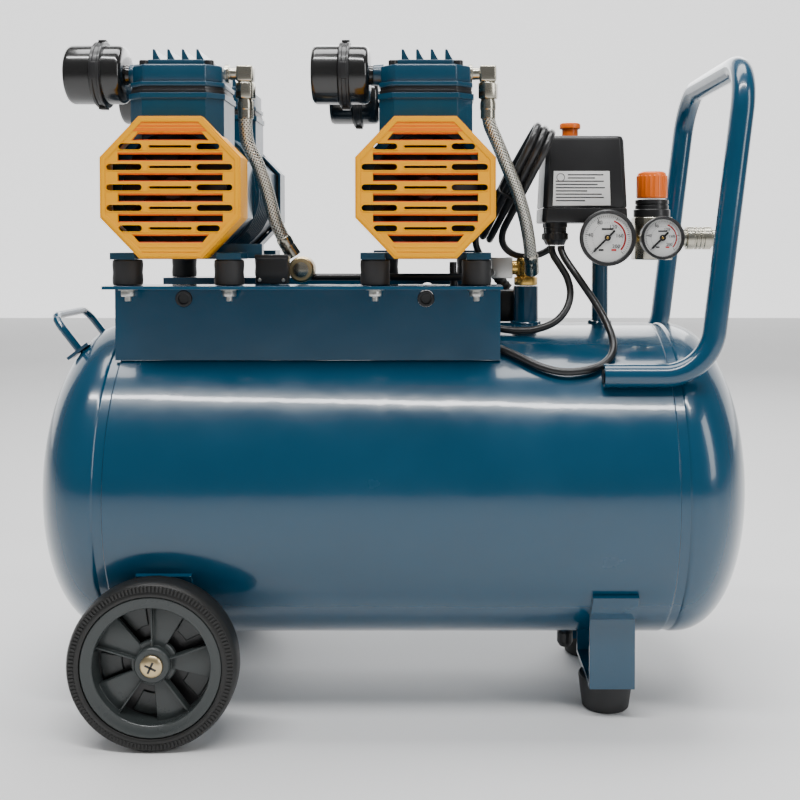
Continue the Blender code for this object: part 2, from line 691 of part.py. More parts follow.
def make_wheel_bracket():
    """A strip under the tank, with a leg and a flap welded to the tank on each side."""
    sheet = BRACKET_SHEET
    leg = WHEEL_BRACKET_LEG_Y
    bottom = WHEEL_BRACKET_BOTTOM_Z
    inner_flap = tank_arc(angle_at(leg, GAP), WHEEL_BRACKET_FLAP_ANGLE, GAP, 4)
    outer_flap = tank_arc(angle_at(leg, GAP + sheet), WHEEL_BRACKET_FLAP_ANGLE, GAP + sheet, 4)
    half = [(0.0, bottom), (leg, bottom)] + outer_flap + list(reversed(inner_flap))[:-1]
    half += [(leg - sheet, on_under(leg - sheet)), (leg - sheet, bottom + sheet), (0.0, bottom + sheet)]
    outline = half + [(-y, z) for y, z in reversed(half[1:-1])]
    low = WHEEL_BRACKET_X - WHEEL_BRACKET_WIDTH / 2
    bracket = add("wheel_bracket", prism(outline, low, low + WHEEL_BRACKET_WIDTH, "YZ"), TEAL)
    hole = rod(AXLE_RADIUS + GAP, 0.300, (0, 1, 0), (WHEEL_X, -0.150, WHEEL_RADIUS), 16)
    cut(bracket, "axle_holes", hole)


def on_under(across, lift=GAP):
    """Height of a point just under the tank at that distance from its middle."""
    reach = TANK_RADIUS + lift
    return TANK_AXIS_Z - math.sqrt(reach ** 2 - across ** 2)


def make_foot(name, side):
    """A U of strip under the tank with a rubber foot screwed below it."""
    sheet = BRACKET_SHEET
    outer = FOOT_BRACKET_OUTER_Y
    inner = FOOT_BRACKET_INNER_Y
    inner_flap = tank_arc(angle_at(outer, GAP), FOOT_BRACKET_FLAP_ANGLE, GAP, 3)
    outer_flap = tank_arc(angle_at(outer, GAP + sheet), FOOT_BRACKET_FLAP_ANGLE, GAP + sheet, 3)
    outline = [(inner, FOOT_BRACKET_Z), (outer, FOOT_BRACKET_Z)] + outer_flap
    outline += list(reversed(inner_flap))[:-1]
    outline += [
        (outer - sheet, on_under(outer - sheet)), (outer - sheet, FOOT_BRACKET_Z + sheet),
        (inner + sheet, FOOT_BRACKET_Z + sheet), (inner + sheet, on_under(inner)), (inner, on_under(inner)),
    ]
    outline = [(side * y, z) for y, z in outline]
    low = FOOT_X - FOOT_BRACKET_WIDTH / 2
    bracket = add("foot_bracket_" + name, prism(outline, low, low + FOOT_BRACKET_WIDTH, "YZ"), TEAL)
    hole = rod(STUD_RADIUS + STUD_HOLE_CLEARANCE, 0.020, (0, 0, 1), (FOOT_X, side * FOOT_Y, 0.025), 12)
    cut(bracket, "foot_hole_" + name, hole)
    top = FOOT_BRACKET_Z - GAP
    nut_z = FOOT_BRACKET_Z + sheet + GAP
    profile = (
        (FOOT_BASE_RADIUS - 0.003, 0.0), (FOOT_BASE_RADIUS, 0.003), (FOOT_TOP_RADIUS, top),
        (STUD_RADIUS, top), (STUD_RADIUS, nut_z), (NUT_RADIUS, nut_z),
        (NUT_RADIUS, nut_z + NUT_HEIGHT), (0.0, nut_z + NUT_HEIGHT),
    )
    add("foot_" + name, turned(profile, (0, 0, 1), (FOOT_X, side * FOOT_Y, 0), 16), RUBBER)


# ---------------------------------------------------------------- wheels
def make_wheel(name, side):
    """A blown rubber tyre on a bladed plastic hub, on a shouldered axle bolt."""
    face = WHEEL_FACE_Y
    back = face - WHEEL_WIDTH
    rim = WHEEL_RADIUS - TYRE_THICKNESS
    axis = (0, side, 0)
    centre = (WHEEL_X, 0, WHEEL_RADIUS)
    tyre_profile = (
        (rim + GAP, back + 0.003), (rim + GAP, face - 0.003), (rim + 0.005, face),
        (WHEEL_RADIUS - 0.005, face - 0.0015), (WHEEL_RADIUS, face - 0.007),
        (WHEEL_RADIUS, back + 0.009), (WHEEL_RADIUS - 0.008, back), (rim + 0.004, back),
        (rim + GAP, back + 0.003),
    )
    add("tyre_" + name, turned(tyre_profile, axis, centre, WHEEL_SIDES), RUBBER)

    bore = AXLE_RADIUS + AXLE_CLEARANCE
    inner_rim = rim - HUB_RIM_THICKNESS
    boss_face = face - 0.006
    web_front = face - 0.013
    web_back = web_front - HUB_WEB_THICKNESS
    hub_profile = (
        (bore, back + 0.003), (HUB_BOSS_RADIUS, back + 0.003), (HUB_BOSS_RADIUS, web_back),
        (inner_rim, web_back), (inner_rim + 0.004, back + 0.004), (rim, back + 0.004),
        (rim, face - 0.004), (rim - 0.006, face - 0.002), (inner_rim, face - 0.008),
        (inner_rim, web_front), (HUB_BOSS_RADIUS, web_front), (HUB_BOSS_RADIUS, boss_face),
        (bore, boss_face), (bore, back + 0.003),
    )
    hub = add("wheel_hub_" + name, turned(hub_profile, axis, centre, WHEEL_SIDES), GREY)
    windows = []
    window_half = math.pi / HUB_BLADES / 2
    window_low = HUB_BOSS_RADIUS + 0.002
    window_high = inner_rim - 0.002
    for i in range(HUB_BLADES):
        middle = math.radians(110) + 2 * math.pi * i / HUB_BLADES
        outline = []
        for radius, edges in ((window_high, (-1, 0, 1)), (window_low, (1, -1))):
            for edge in edges:
                angle = middle + edge * window_half
                outline.append((WHEEL_X + radius * math.cos(angle), WHEEL_RADIUS + radius * math.sin(angle)))
        low, high = sorted((side * (web_back - 0.004), side * (web_front + 0.004)))
        windows.append(prism(outline, low, high, "XZ"))
    cut(hub, "hub_windows_" + name, merged(*windows))

    head_z = boss_face + GAP
    leg = WHEEL_BRACKET_LEG_Y
    nut_top = leg - BRACKET_SHEET - GAP
    bolt_profile = (
        (0.0, nut_top - 0.010), (AXLE_RADIUS, nut_top - 0.010), (AXLE_RADIUS, nut_top - 0.007),
        (AXLE_NUT_RADIUS, nut_top - 0.007), (AXLE_NUT_RADIUS, nut_top), (AXLE_RADIUS, nut_top),
        (AXLE_RADIUS, leg + GAP), (AXLE_NUT_RADIUS, leg + GAP), (AXLE_NUT_RADIUS, back + 0.002),
        (AXLE_RADIUS, back + 0.002),
        (AXLE_RADIUS, head_z), (AXLE_HEAD_RADIUS, head_z), (AXLE_HEAD_RADIUS * 0.8, head_z + 0.0035),
        (0.0, head_z + 0.0045),
    )
    add("axle_bolt_" + name, turned(bolt_profile, axis, centre, 12), BRASS)


# ---------------------------------------------------------------- pumps
def make_mount(name, x, side):
    """A rubber buffer with a bonded stud that a nut holds under the rail's flange."""
    y = side * MOUNT_Y
    base = RAIL_TOP_Z + GAP
    top = RAIL_TOP_Z + MOUNT_HEIGHT
    nut_top = RAIL_TOP_Z - RAIL_SHEET - GAP
    profile = (
        (0.0, nut_top - STUD_LENGTH), (STUD_RADIUS, nut_top - STUD_LENGTH),
        (STUD_RADIUS, nut_top - NUT_HEIGHT), (NUT_RADIUS, nut_top - NUT_HEIGHT), (NUT_RADIUS, nut_top),
        (STUD_RADIUS, nut_top), (STUD_RADIUS, base), (MOUNT_RADIUS, base), (MOUNT_RADIUS, top), (0.0, top),
    )
    add(name, turned(profile, (0, 0, 1), (x, y, 0), 10), RUBBER)


def make_pump_body(name, x):
    """Motor housing with a crankcase and a cylinder barrel bolted to each end, and four feet."""
    low_y = -CRANKCASE_Y
    case = octagon(CRANKCASE_HALF, CRANKCASE_HALF, CRANKCASE_CUT, CRANKCASE_CUT, x, SHAFT_Z)
    body = add(name, prism(case, low_y, -MOTOR_HALF_LENGTH, "XZ"), TEAL)
    join(body, name + "_rear_case", prism(case, MOTOR_HALF_LENGTH, CRANKCASE_Y, "XZ"))
    stack = 0.002
    start = (x, -MOTOR_HALF_LENGTH - stack, SHAFT_Z)
    join(body, name + "_motor", rod(MOTOR_RADIUS, 2 * (MOTOR_HALF_LENGTH + stack), (0, 1, 0), start, 24))
    flange = BARREL_TOP_Z - BARREL_FLANGE_THICKNESS
    over = BARREL_FLANGE_OVERHANG
    for end, side in (("front", -1), ("rear", 1)):
        y = side * BARREL_Y
        wall = octagon(BARREL_HALF_X, BARREL_HALF_Y, BARREL_CHAMFER, BARREL_CHAMFER, x, y)
        rim = octagon(BARREL_HALF_X + over, BARREL_HALF_Y + over, BARREL_CHAMFER, BARREL_CHAMFER, x, y)
        join(body, name + "_barrel_" + end, prism(wall, SHAFT_Z + 0.030, flange + 0.001, "XY"))
        join(body, name + "_flange_" + end, prism(rim, flange, BARREL_TOP_Z, "XY"))
        bore = rod(0.024, 0.090, (0, 0, 1), (x, y, BARREL_TOP_Z - 0.072), 14)
        cut(body, name + "_bore_" + end, bore)
        chamber = rod(FAN_CHAMBER_RADIUS, 0.040, (0, side, 0), (x, side * (CRANKCASE_Y - 0.010), SHAFT_Z), 16)
        cut(body, name + "_chamber_" + end, chamber)
        low, high = sorted((side * LUG_INNER_Y, side * (COVER_REAR_Y - GAP)))
        base = RAIL_TOP_Z + MOUNT_HEIGHT + GAP
        reach = MOUNT_X + LUG_RADIUS
        foot_bar = block((x - reach, low, base), (x + reach, high, base + LUG_THICKNESS))
        join(body, name + "_foot_bar_" + end, foot_bar)
        top = SHAFT_Z - CRANKCASE_HALF + 0.004
        pedestal = block((x - PEDESTAL_HALF, low, base), (x + PEDESTAL_HALF, high, top))
        join(body, name + "_pedestal_" + end, pedestal)
        lugs = []
        for foot_side in (-1, 1):
            inner_x, outer_x = sorted((foot_side * LUG_INNER_X, foot_side * reach))
            inner_y, outer_y = sorted((side * (MOUNT_Y - LUG_RADIUS), side * (MOUNT_Y + LUG_RADIUS)))
            lugs.append(block((x + inner_x, inner_y, base), (x + outer_x, outer_y, base + LUG_THICKNESS)))
        join(body, name + "_lugs_" + end, merged(*lugs))
    cavity = rod(ROTOR_CHAMBER_RADIUS, 2 * MOTOR_HALF_LENGTH, (0, 1, 0), (x, -MOTOR_HALF_LENGTH, SHAFT_Z), 16)
    cut(body, name + "_cavity", cavity)
    tunnel = rod(SHAFT_BORE_RADIUS, 2 * CRANKCASE_Y, (0, 1, 0), (x, -CRANKCASE_Y, SHAFT_Z), 12)
    cut(body, name + "_tunnel", tunnel)
    return body


def make_terminal_box(body, x):
    """Cable box that hangs on a short arm at the right of the first motor."""
    left = x + TERMINAL_BOX_OFFSET
    base = RAIL_TOP_Z + TERMINAL_BOX_LIFT
    box = block(
        (left, -TERMINAL_BOX_FRONT_Y, base),
        (left + TERMINAL_BOX_SIZE[0], TERMINAL_BOX_SIZE[1] - TERMINAL_BOX_FRONT_Y, base + TERMINAL_BOX_SIZE[2]),
    )
    arm_low = base + TERMINAL_BOX_SIZE[2] - 0.003
    arm_high = SHAFT_Z - CRANKCASE_HALF + 0.007
    arm = block((x + 0.018, -0.090, arm_low), (left + 0.005, -0.080, arm_high))
    join(body, body.name + "_arm", arm)
    join(body, body.name + "_box", box)


def make_cylinder_head(name, x, side, with_outlet):
    """Finned head on its black valve plate, with an intake boss on the left and an outlet."""
    y = side * BARREL_Y
    over = BARREL_FLANGE_OVERHANG
    base = BARREL_TOP_Z + GAP
    plate_top = base + GASKET_THICKNESS
    body_top = plate_top + HEAD_BODY_HEIGHT
    plate = octagon(BARREL_HALF_X + over, BARREL_HALF_Y + over, BARREL_CHAMFER, BARREL_CHAMFER, x, y)
    head = add(name, prism(plate, base, plate_top, "XY"), TEAL)
    inset = HEAD_INSET
    block_outline = octagon(BARREL_HALF_X - inset, BARREL_HALF_Y - inset, BARREL_CHAMFER, BARREL_CHAMFER, x, y)
    join(head, name + "_body", prism(block_outline, plate_top - 0.001, body_top, "XY"))
    raised = octagon(HEAD_RAISED_HALF, HEAD_RAISED_HALF, 0.006, 0.006, x, y)
    join(head, name + "_raised", prism(raised, body_top - 0.001, body_top + HEAD_RAISED_HEIGHT, "XY"))
    fins = []
    for i in range(FIN_COUNT):
        fin_x = x + (i - (FIN_COUNT - 1) / 2) * FIN_PITCH
        fins.append(block(
            (fin_x - FIN_THICKNESS / 2, y - HEAD_RAISED_HALF + 0.004, body_top + HEAD_RAISED_HEIGHT - 0.001),
            (fin_x + FIN_THICKNESS / 2, y + HEAD_RAISED_HALF - 0.004, body_top + HEAD_RAISED_HEIGHT + FIN_HEIGHT),
        ))
    join(head, name + "_fins", merged(*fins))
    port = rod(FILTER_NECK_RADIUS + 0.0008, 0.012, (-1, 0, 0), (x - BARREL_HALF_X + 0.006, y, FILTER_Z), 16)
    join(head, name + "_port", port)
    if with_outlet:
        pipe = rod(ELBOW_PIPE_RADIUS, ELBOW_X - BARREL_HALF_X + 0.006, (1, 0, 0), (x + BARREL_HALF_X - 0.006, y, ELBOW_Z), 14)
        join(head, name + "_outlet", pipe)
        corner = block(
            (x + ELBOW_X - ELBOW_HALF, y - ELBOW_HALF, ELBOW_Z - ELBOW_HALF),
            (x + ELBOW_X + ELBOW_HALF, y + ELBOW_HALF, ELBOW_Z + ELBOW_HALF),
        )
        join(head, name + "_elbow", corner)
    return head


def make_filter(name, x, side):
    """Two-part intake filter with a clamp band, screwed into the left of a head."""
    y = side * BARREL_Y
    left = FILTER_LEFT_X
    right = FILTER_RIGHT_X
    middle = left + 0.58 * (right - left)
    half = FILTER_BAND_WIDTH / 2
    neck_end = -BARREL_HALF_X - 0.006 - GAP
    profile = (
        (0.0, left), (FILTER_RADIUS - 0.002, left), (FILTER_RADIUS, left + 0.002),
        (FILTER_RADIUS, middle - half), (FILTER_BAND_RADIUS, middle - half),
        (FILTER_BAND_RADIUS, middle + half), (FILTER_RADIUS, middle + half),
        (FILTER_RADIUS, right - 0.004), (FILTER_RADIUS - 0.006, right),
        (FILTER_NECK_RADIUS, right), (FILTER_NECK_RADIUS, neck_end), (0.0, neck_end),
    )
    add(name, turned(profile, (1, 0, 0), (x, y, FILTER_Z), 18), BLACK)


def make_fan_cover(name, x, side):
    """Octagonal cover with five bars and wide gaps between them."""
    face = COVER_FACE_Y
    rear = COVER_REAR_Y
    low, high = sorted((side * face, side * rear))
    outer = octagon(COVER_HALF_X, COVER_HALF_Z, COVER_CUT_X, COVER_CUT_Z, x, SHAFT_Z)
    cover = add(name, prism(outer, low, high, "XZ"), YELLOW)
    wall = COVER_WALL
    inner = octagon(COVER_HALF_X - wall, COVER_HALF_Z - wall, COVER_CUT_X - wall / 2, COVER_CUT_Z - wall / 2, x, SHAFT_Z)
    low, high = sorted((side * (face - COVER_FACE), side * (rear - 0.010)))
    cut(cover, name + "_hollow", prism(inner, low, high, "XZ"))
    low, high = sorted((side * (face + 0.005), side * (face - COVER_FACE - 0.005)))
    gaps = []
    gap_half = (COVER_BAR_PITCH - COVER_BAR_HEIGHT) / 2
    for i in range(COVER_BARS + 1):
        z = SHAFT_Z + (i - COVER_BARS / 2) * COVER_BAR_PITCH
        end_gap = i in (0, COVER_BARS)
        half = COVER_GAP_HALF_X - (0.012 if end_gap else 0.0)
        gaps.append(prism(
            [(x - half, z - gap_half), (x + half, z - gap_half), (x + half, z + gap_half), (x - half, z + gap_half)],
            low, high, "XZ",
        ))
    cut(cover, name + "_gaps", merged(*gaps))
    # The crankcase's octagon sits inside the cover's rim.
    seat = octagon(
        CRANKCASE_HALF + GAP, CRANKCASE_HALF + GAP, CRANKCASE_CUT, CRANKCASE_CUT, x, SHAFT_Z,
    )
    low, high = sorted((side * (rear - 0.005), side * (CRANKCASE_Y + GAP)))
    cut(cover, name + "_seat", prism(seat, low, high, "XZ"))
    notch = octagon(
        BARREL_HALF_X + 2 * GAP, BARREL_HALF_Y + 2 * GAP, BARREL_CHAMFER, BARREL_CHAMFER, x, side * BARREL_Y,
    )
    cut(cover, name + "_notch", prism(notch, SHAFT_Z + 0.025, SHAFT_Z + COVER_HALF_Z + 0.005, "XY"))


def make_rotor(name, x):
    """Motor shaft with its rotor core and a cooling fan pressed on each end."""
    fan_y = CRANKCASE_Y + 0.004
    core = MOTOR_HALF_LENGTH - 0.014
    profile = (
        (0.0, -fan_y - FAN_THICKNESS - 0.004), (FAN_HUB_RADIUS - 0.003, -fan_y - FAN_THICKNESS - 0.004),
        (FAN_HUB_RADIUS, -fan_y - FAN_THICKNESS), (FAN_HUB_RADIUS, -fan_y), (SHAFT_RADIUS, -fan_y),
        (SHAFT_RADIUS, -core), (ROTOR_RADIUS, -core), (ROTOR_RADIUS, core), (SHAFT_RADIUS, core),
        (SHAFT_RADIUS, fan_y), (FAN_HUB_RADIUS, fan_y), (FAN_HUB_RADIUS, fan_y + FAN_THICKNESS),
        (FAN_HUB_RADIUS - 0.003, fan_y + FAN_THICKNESS + 0.004), (0.0, fan_y + FAN_THICKNESS + 0.004),
    )
    rotor = add(name, turned(profile, (0, 1, 0), (x, 0, SHAFT_Z), 12), BLACK)
    blades = []
    for end in (-1, 1):
        for i in range(FAN_BLADES):
            blade = block((FAN_HUB_RADIUS - 0.002, -0.0011, -0.0085), (FAN_RADIUS, 0.0011, 0.0085))
            blade.transform(Matrix.Rotation(math.radians(38 * end), 4, "X"))
            blade.transform(Matrix.Rotation(2 * math.pi * i / FAN_BLADES, 4, "Y"))
            blade.transform(Matrix.Translation((x, end * (fan_y + FAN_THICKNESS / 2), SHAFT_Z)))
            blades.append(blade)
    join(rotor, name + "_blades", merged(*blades))


def make_hose(name, x, route):
    """Braided hose from a head's elbow, with its union nut and ferrule at the top."""
    start = Vector((x, 0, 0))
    points = [start + p for p in smooth_route(route, 2.4 * HOSE_RADIUS)]
    hose = add(name, tube_mesh(points, HOSE_RADIUS, 10), BRAID)
    top = Vector((x + ELBOW_X, -BARREL_Y, ELBOW_Z - ELBOW_HALF - GAP))
    nut_bottom = top.z - UNION_NUT_HEIGHT
    profile = (
        (0.0, route[0][2] - 0.002), (FERRULE_RADIUS, route[0][2] - 0.002), (FERRULE_RADIUS, nut_bottom),
        (UNION_NUT_RADIUS, nut_bottom), (UNION_NUT_RADIUS, top.z), (0.0, top.z),
    )
    join(hose, name + "_union", turned(profile, (0, 0, 1), (top.x, top.y, 0), 12))


# ---------------------------------------------------------------- air fittings
def make_manifold():
    """Check valve on the inlet pipe, with the block that joins the two hoses through a cross pipe."""
    base = STUB_TOP_Z + GAP
    profile = (
        (0.0, base), (CHECK_VALVE_RADIUS * 0.8, base), (CHECK_VALVE_RADIUS * 0.8, base + 0.004),
        (CHECK_VALVE_RADIUS, base + 0.004), (CHECK_VALVE_RADIUS, CHECK_VALVE_TOP_Z - 0.003),
        (CHECK_VALVE_RADIUS * 0.7, CHECK_VALVE_TOP_Z), (0.0, CHECK_VALVE_TOP_Z),
    )
    manifold = add("air_manifold", turned(profile, (0, 0, 1), (STUB_X, 0, 0), 16), BRASS)
    half = BLOCK_HALF
    join(manifold, "manifold_block", block(
        (BLOCK_X - half, -half, BLOCK_Z - half), (BLOCK_X + half, half, BLOCK_Z + half),
    ))
    join(manifold, "manifold_neck", rod(0.006, STUB_X - BLOCK_X, (1, 0, 0), (BLOCK_X, 0, BLOCK_Z), 12))
    x, y, z = UNION_PLACE
    pipe_z = RAIL_TOP_Z + CROSS_PIPE_LIFT
    route = [
        (x, CROSS_PIPE_Y, pipe_z), (BLOCK_X - 0.0358, CROSS_PIPE_Y, pipe_z),
        (BLOCK_X - 0.0078, -0.004, BLOCK_Z - 0.004),
    ]
    join(manifold, "cross_pipe", tube_mesh(bent(route, CROSS_PIPE_BEND), CROSS_PIPE_RADIUS, 10))
    union = rod(UNION_RADIUS, UNION_LENGTH, (0, 1, 0), (x, y - UNION_LENGTH / 2, z), 16)
    join(manifold, "hose_union", union)


# ---------------------------------------------------------------- pressure switch
def make_switch():
    """Tapered switch box with two cable glands, on a manifold that the post carries."""
    outline = [
        (SWITCH_X - SWITCH_HALF_BOTTOM, SWITCH_BOTTOM_Z), (SWITCH_X + SWITCH_HALF_BOTTOM, SWITCH_BOTTOM_Z),
        (SWITCH_X + SWITCH_HALF_TOP, SWITCH_TOP_Z), (SWITCH_X - SWITCH_HALF_TOP, SWITCH_TOP_Z),
    ]
    box = add("switch_box", prism(outline, SWITCH_FRONT_Y, SWITCH_BACK_Y, "XZ"), BLACK)
    glands = []
    for x, y in (GLAND_FRONT, GLAND_REAR):
        start = (x, y, SWITCH_BOTTOM_Z + 0.002)
        glands.append(rod(GLAND_RADIUS, GLAND_LENGTH + 0.002, (0, 0, -1), start, 16))
    join(box, "glands", merged(*glands))
    # The manifold under the box takes the post, both gauges' pipes and the regulator.
    half = MANIFOLD_HALF
    join(box, "switch_manifold", block(
        (POST_X - half, -half, POST_TOP_Z + GAP), (POST_X + half, half, SWITCH_BOTTOM_Z + 0.002),
    ))
    well = KNOB_STEM_RADIUS + RUNNING_CLEARANCE
    depth = KNOB_TAIL + KNOB_TRAVEL + 0.001
    cut(box, "knob_well", rod(well, depth + 0.010, (0, 0, 1), (KNOB_X, KNOB_Y, SWITCH_TOP_Z - depth), 20))

    base = SWITCH_TOP_Z
    profile = (
        (0.0, base - KNOB_TAIL), (KNOB_STEM_RADIUS, base - KNOB_TAIL),
        (KNOB_STEM_RADIUS, base + KNOB_HEIGHT - 0.005), (KNOB_FLANGE_RADIUS, base + KNOB_HEIGHT - 0.004),
        (KNOB_FLANGE_RADIUS, base + KNOB_HEIGHT - 0.001), (KNOB_FLANGE_RADIUS - 0.001, base + KNOB_HEIGHT),
        (0.0, base + KNOB_HEIGHT),
    )
    add("switch_knob", turned(profile, (0, 0, 1), (KNOB_X, KNOB_Y, 0), 20), ORANGE)


# ---------------------------------------------------------------- gauges and regulator
def make_gauge(name, x, radius, face_y, back_y):
    """Round case with a sunk dial, a pipe at its back, and a needle on a pin."""
    window = radius * GAUGE_RIM_SHARE
    dial = face_y + GAUGE_WINDOW_DEPTH
    pin = 0.0012
    profile = (
        (0.0, dial - 0.0022), (pin, dial - 0.0022), (pin, dial), (window, dial), (window, face_y),
        (radius, face_y), (radius, face_y + GAUGE_DEPTH - 0.004), (radius - 0.004, face_y + GAUGE_DEPTH),
        (0.0055, face_y + GAUGE_DEPTH), (0.0055, back_y - GAP), (0.0, back_y - GAP),
    )
    add("gauge_" + name, turned(profile, (0, 1, 0), (x, 0, GAUGE_Z), 20), BLACK)
    length = 0.80 * window
    tail = 0.42 * window
    angle = math.radians(NEEDLE_ZERO_ANGLE)
    needle = block((-tail, 0.0, -0.0009), (length, NEEDLE_THICKNESS, 0.0009))
    needle.transform(Matrix.Rotation(-angle, 4, "Y"))
    needle.transform(Matrix.Translation((x, dial - 0.0018, GAUGE_Z)))
    made = add("needle_" + name, needle, BLACK, smooth=False)
    hub_start = (x, dial - 0.0021, GAUGE_Z)
    join(made, "needle_hub_" + name, rod(0.0030, 0.0014, (0, 1, 0), hub_start, 14))
    cut(made, "needle_bore_" + name, rod(pin + 0.0002, 0.010, (0, 1, 0), (x, dial - 0.005, GAUGE_Z), 12))


def make_regulator():
    """Regulator body with its coupler plug, an adjusting knob and a sleeve on the coupler."""
    half = REGULATOR_BODY_HALF
    bottom = REGULATOR_BODY_BOTTOM_Z
    top = REGULATOR_BODY_TOP_Z
    outline = octagon(half, half, 0.006, 0.006, REGULATOR_X, 0.0)
    body = add("regulator_body", prism(outline, bottom, top, "XY"), BLACK)
    inlet_start = POST_X + MANIFOLD_HALF + GAP
    join(body, "regulator_inlet", rod(0.0075, REGULATOR_X - inlet_start, (1, 0, 0), (inlet_start, 0, GAUGE_Z), 14))
    ring_top = top + REGULATOR_RING_HEIGHT
    knob_base = ring_top + REGULATOR_KNOB_LIFT
    spindle_top = knob_base + 0.015
    ring = (
        (0.0, top - 0.002), (REGULATOR_RING_RADIUS - 0.002, top - 0.002),
        (REGULATOR_RING_RADIUS, top + 0.004), (REGULATOR_RING_RADIUS - 0.001, ring_top),
        (REGULATOR_SPINDLE_RADIUS, ring_top), (REGULATOR_SPINDLE_RADIUS, spindle_top), (0.0, spindle_top),
    )
    join(body, "regulator_ring", turned(ring, (0, 0, 1), (REGULATOR_X, 0, 0), 16))
    plug = (
        (0.0, REGULATOR_X), (COUPLER_SHOULDER_RADIUS, REGULATOR_X), (COUPLER_SHOULDER_RADIUS, COUPLER_SHOULDER_X),
        (COUPLER_BODY_RADIUS, COUPLER_SHOULDER_X), (COUPLER_BODY_RADIUS, COUPLER_END_X - 0.002),
        (COUPLER_BODY_RADIUS - 0.0015, COUPLER_END_X), (0.0, COUPLER_END_X),
    )
    join(body, "coupler_body", turned(plug, (1, 0, 0), (0, 0, GAUGE_Z), 14))
    cut(body, "coupler_mouth", rod(0.0048, 0.025, (-1, 0, 0), (COUPLER_END_X + 0.005, 0, GAUGE_Z), 14))

    well = REGULATOR_SPINDLE_RADIUS + RUNNING_CLEARANCE
    knob_top = knob_base + REGULATOR_KNOB_HEIGHT
    knob = (
        (well, knob_base), (REGULATOR_KNOB_RADIUS - 0.001, knob_base), (REGULATOR_KNOB_RADIUS, knob_base + 0.001),
        (REGULATOR_KNOB_RADIUS, knob_top - 0.002), (REGULATOR_KNOB_RADIUS - 0.002, knob_top), (0.0, knob_top),
        (0.0, spindle_top + 0.001), (well, spindle_top + 0.001), (well, knob_base),
    )
    add("regulator_knob", turned(knob, (0, 0, 1), (REGULATOR_X, 0, 0), 16), ORANGE)

    inner = COUPLER_BODY_RADIUS + RUNNING_CLEARANCE
    low = COUPLER_SLEEVE_X
    high = low + COUPLER_SLEEVE_LENGTH
    sleeve = (
        (inner, low), (COUPLER_SLEEVE_RADIUS - 0.0008, low), (COUPLER_SLEEVE_RADIUS, low + 0.001),
        (COUPLER_SLEEVE_RADIUS, high - 0.001), (COUPLER_SLEEVE_RADIUS - 0.0008, high), (inner, high), (inner, low),
    )
    add("coupler_sleeve", turned(sleeve, (1, 0, 0), (0, 0, GAUGE_Z), 16), NICKEL)


def make_drain_knob():
    """Drain cock screwed into the boss at the tank's lowest point."""
    top = TANK_AXIS_Z - TANK_RADIUS - DRAIN_BOSS_LENGTH - GAP
    base = top - DRAIN_KNOB_LENGTH
    profile = (
        (0.0, base), (DRAIN_KNOB_RADIUS * 0.7, base), (DRAIN_KNOB_RADIUS, base + 0.004),
        (DRAIN_KNOB_RADIUS, top - 0.003), (DRAIN_KNOB_RADIUS * 0.8, top), (0.0030, top),
        (0.0030, top + 0.005), (0.0, top + 0.005),
    )
    add("drain_knob", turned(profile, (0, 0, 1), (DRAIN_X, 0, 0), 16), BLACK)


# ---------------------------------------------------------------- leads
def make_leads():
    """Leads of the two motors and the mains lead, which is folded into a hank with its plug."""
    step = 5 * LEAD_RADIUS
    routes = (
        ("motor_lead_1", MOTOR_LEAD_1_ROUTE), ("motor_lead_2", MOTOR_LEAD_2_ROUTE),
        ("mains_lead", MAINS_LEAD_ROUTE),
    )
    for name, route in routes:
        tube(name, smooth_route(route, step), LEAD_RADIUS, BLACK, CORD_SIDES)

    low = Vector(HANK_LOW)
    high = Vector(HANK_HIGH)
    along = (high - low).normalized()
    across = (Vector((0, 1, 0)) - along * along.y).normalized()
    through = along.cross(across)
    half_run = (high - low).length / 2
    outline = []
    for end in (1, -1):
        for i in range(9):
            angle = math.pi * i / 8 - math.pi / 2
            u = end * (half_run + HANK_WIDTH / 2 * math.cos(angle))
            v = end * HANK_WIDTH / 2 * math.sin(angle)
            outline.append((u, v))
    hank = prism(outline, -HANK_THICKNESS / 2, HANK_THICKNESS / 2, "XY")
    turn = Matrix((along, across, through)).transposed().to_4x4()
    hank.transform(Matrix.Translation((low + high) / 2) @ turn)
    add("mains_hank", hank, BLACK)

    size = Vector(PLUG_SIZE)
    corner = Vector(PLUG_LOW)
    plug = add("mains_plug", block(
        (corner.x - size.x / 2, corner.y - size.y / 2, corner.z),
        (corner.x + size.x / 2, corner.y + size.y / 2, corner.z + size.z),
    ), BLACK)
    top = corner.z + size.z
    start = Vector((corner.x, corner.y, top - 0.003))
    reach = Vector(PLUG_RELIEF_END) - start
    relief = turned(((0.0065, 0), (0.0060, 0.007), (0.0042, reach.length)), reach, start, 12)
    join(plug, "plug_relief", relief)
    pins = []
    for side in (-1, 1):
        start = (corner.x + side * PLUG_PIN_SPACING / 2, corner.y + size.y / 2 - 0.002, corner.z + size.z / 2)
        pins.append(rod(PLUG_PIN_RADIUS, PLUG_PIN_LENGTH + 0.002, (0, 1, 0), start, 12))
    join(plug, "plug_pins", merged(*pins))
    grooves = []
    pitch = size.z / (PLUG_RIBS + 1)
    for i in range(PLUG_RIBS):
        z = corner.z + pitch * (i + 1)
        left = corner.x - size.x / 2
        grooves.append(block(
            (left - 0.002, corner.y - size.y, z - pitch / 4), (left + 0.002, corner.y + size.y, z + pitch / 4),
        ))
    cut(plug, "plug_grooves", merged(*grooves))


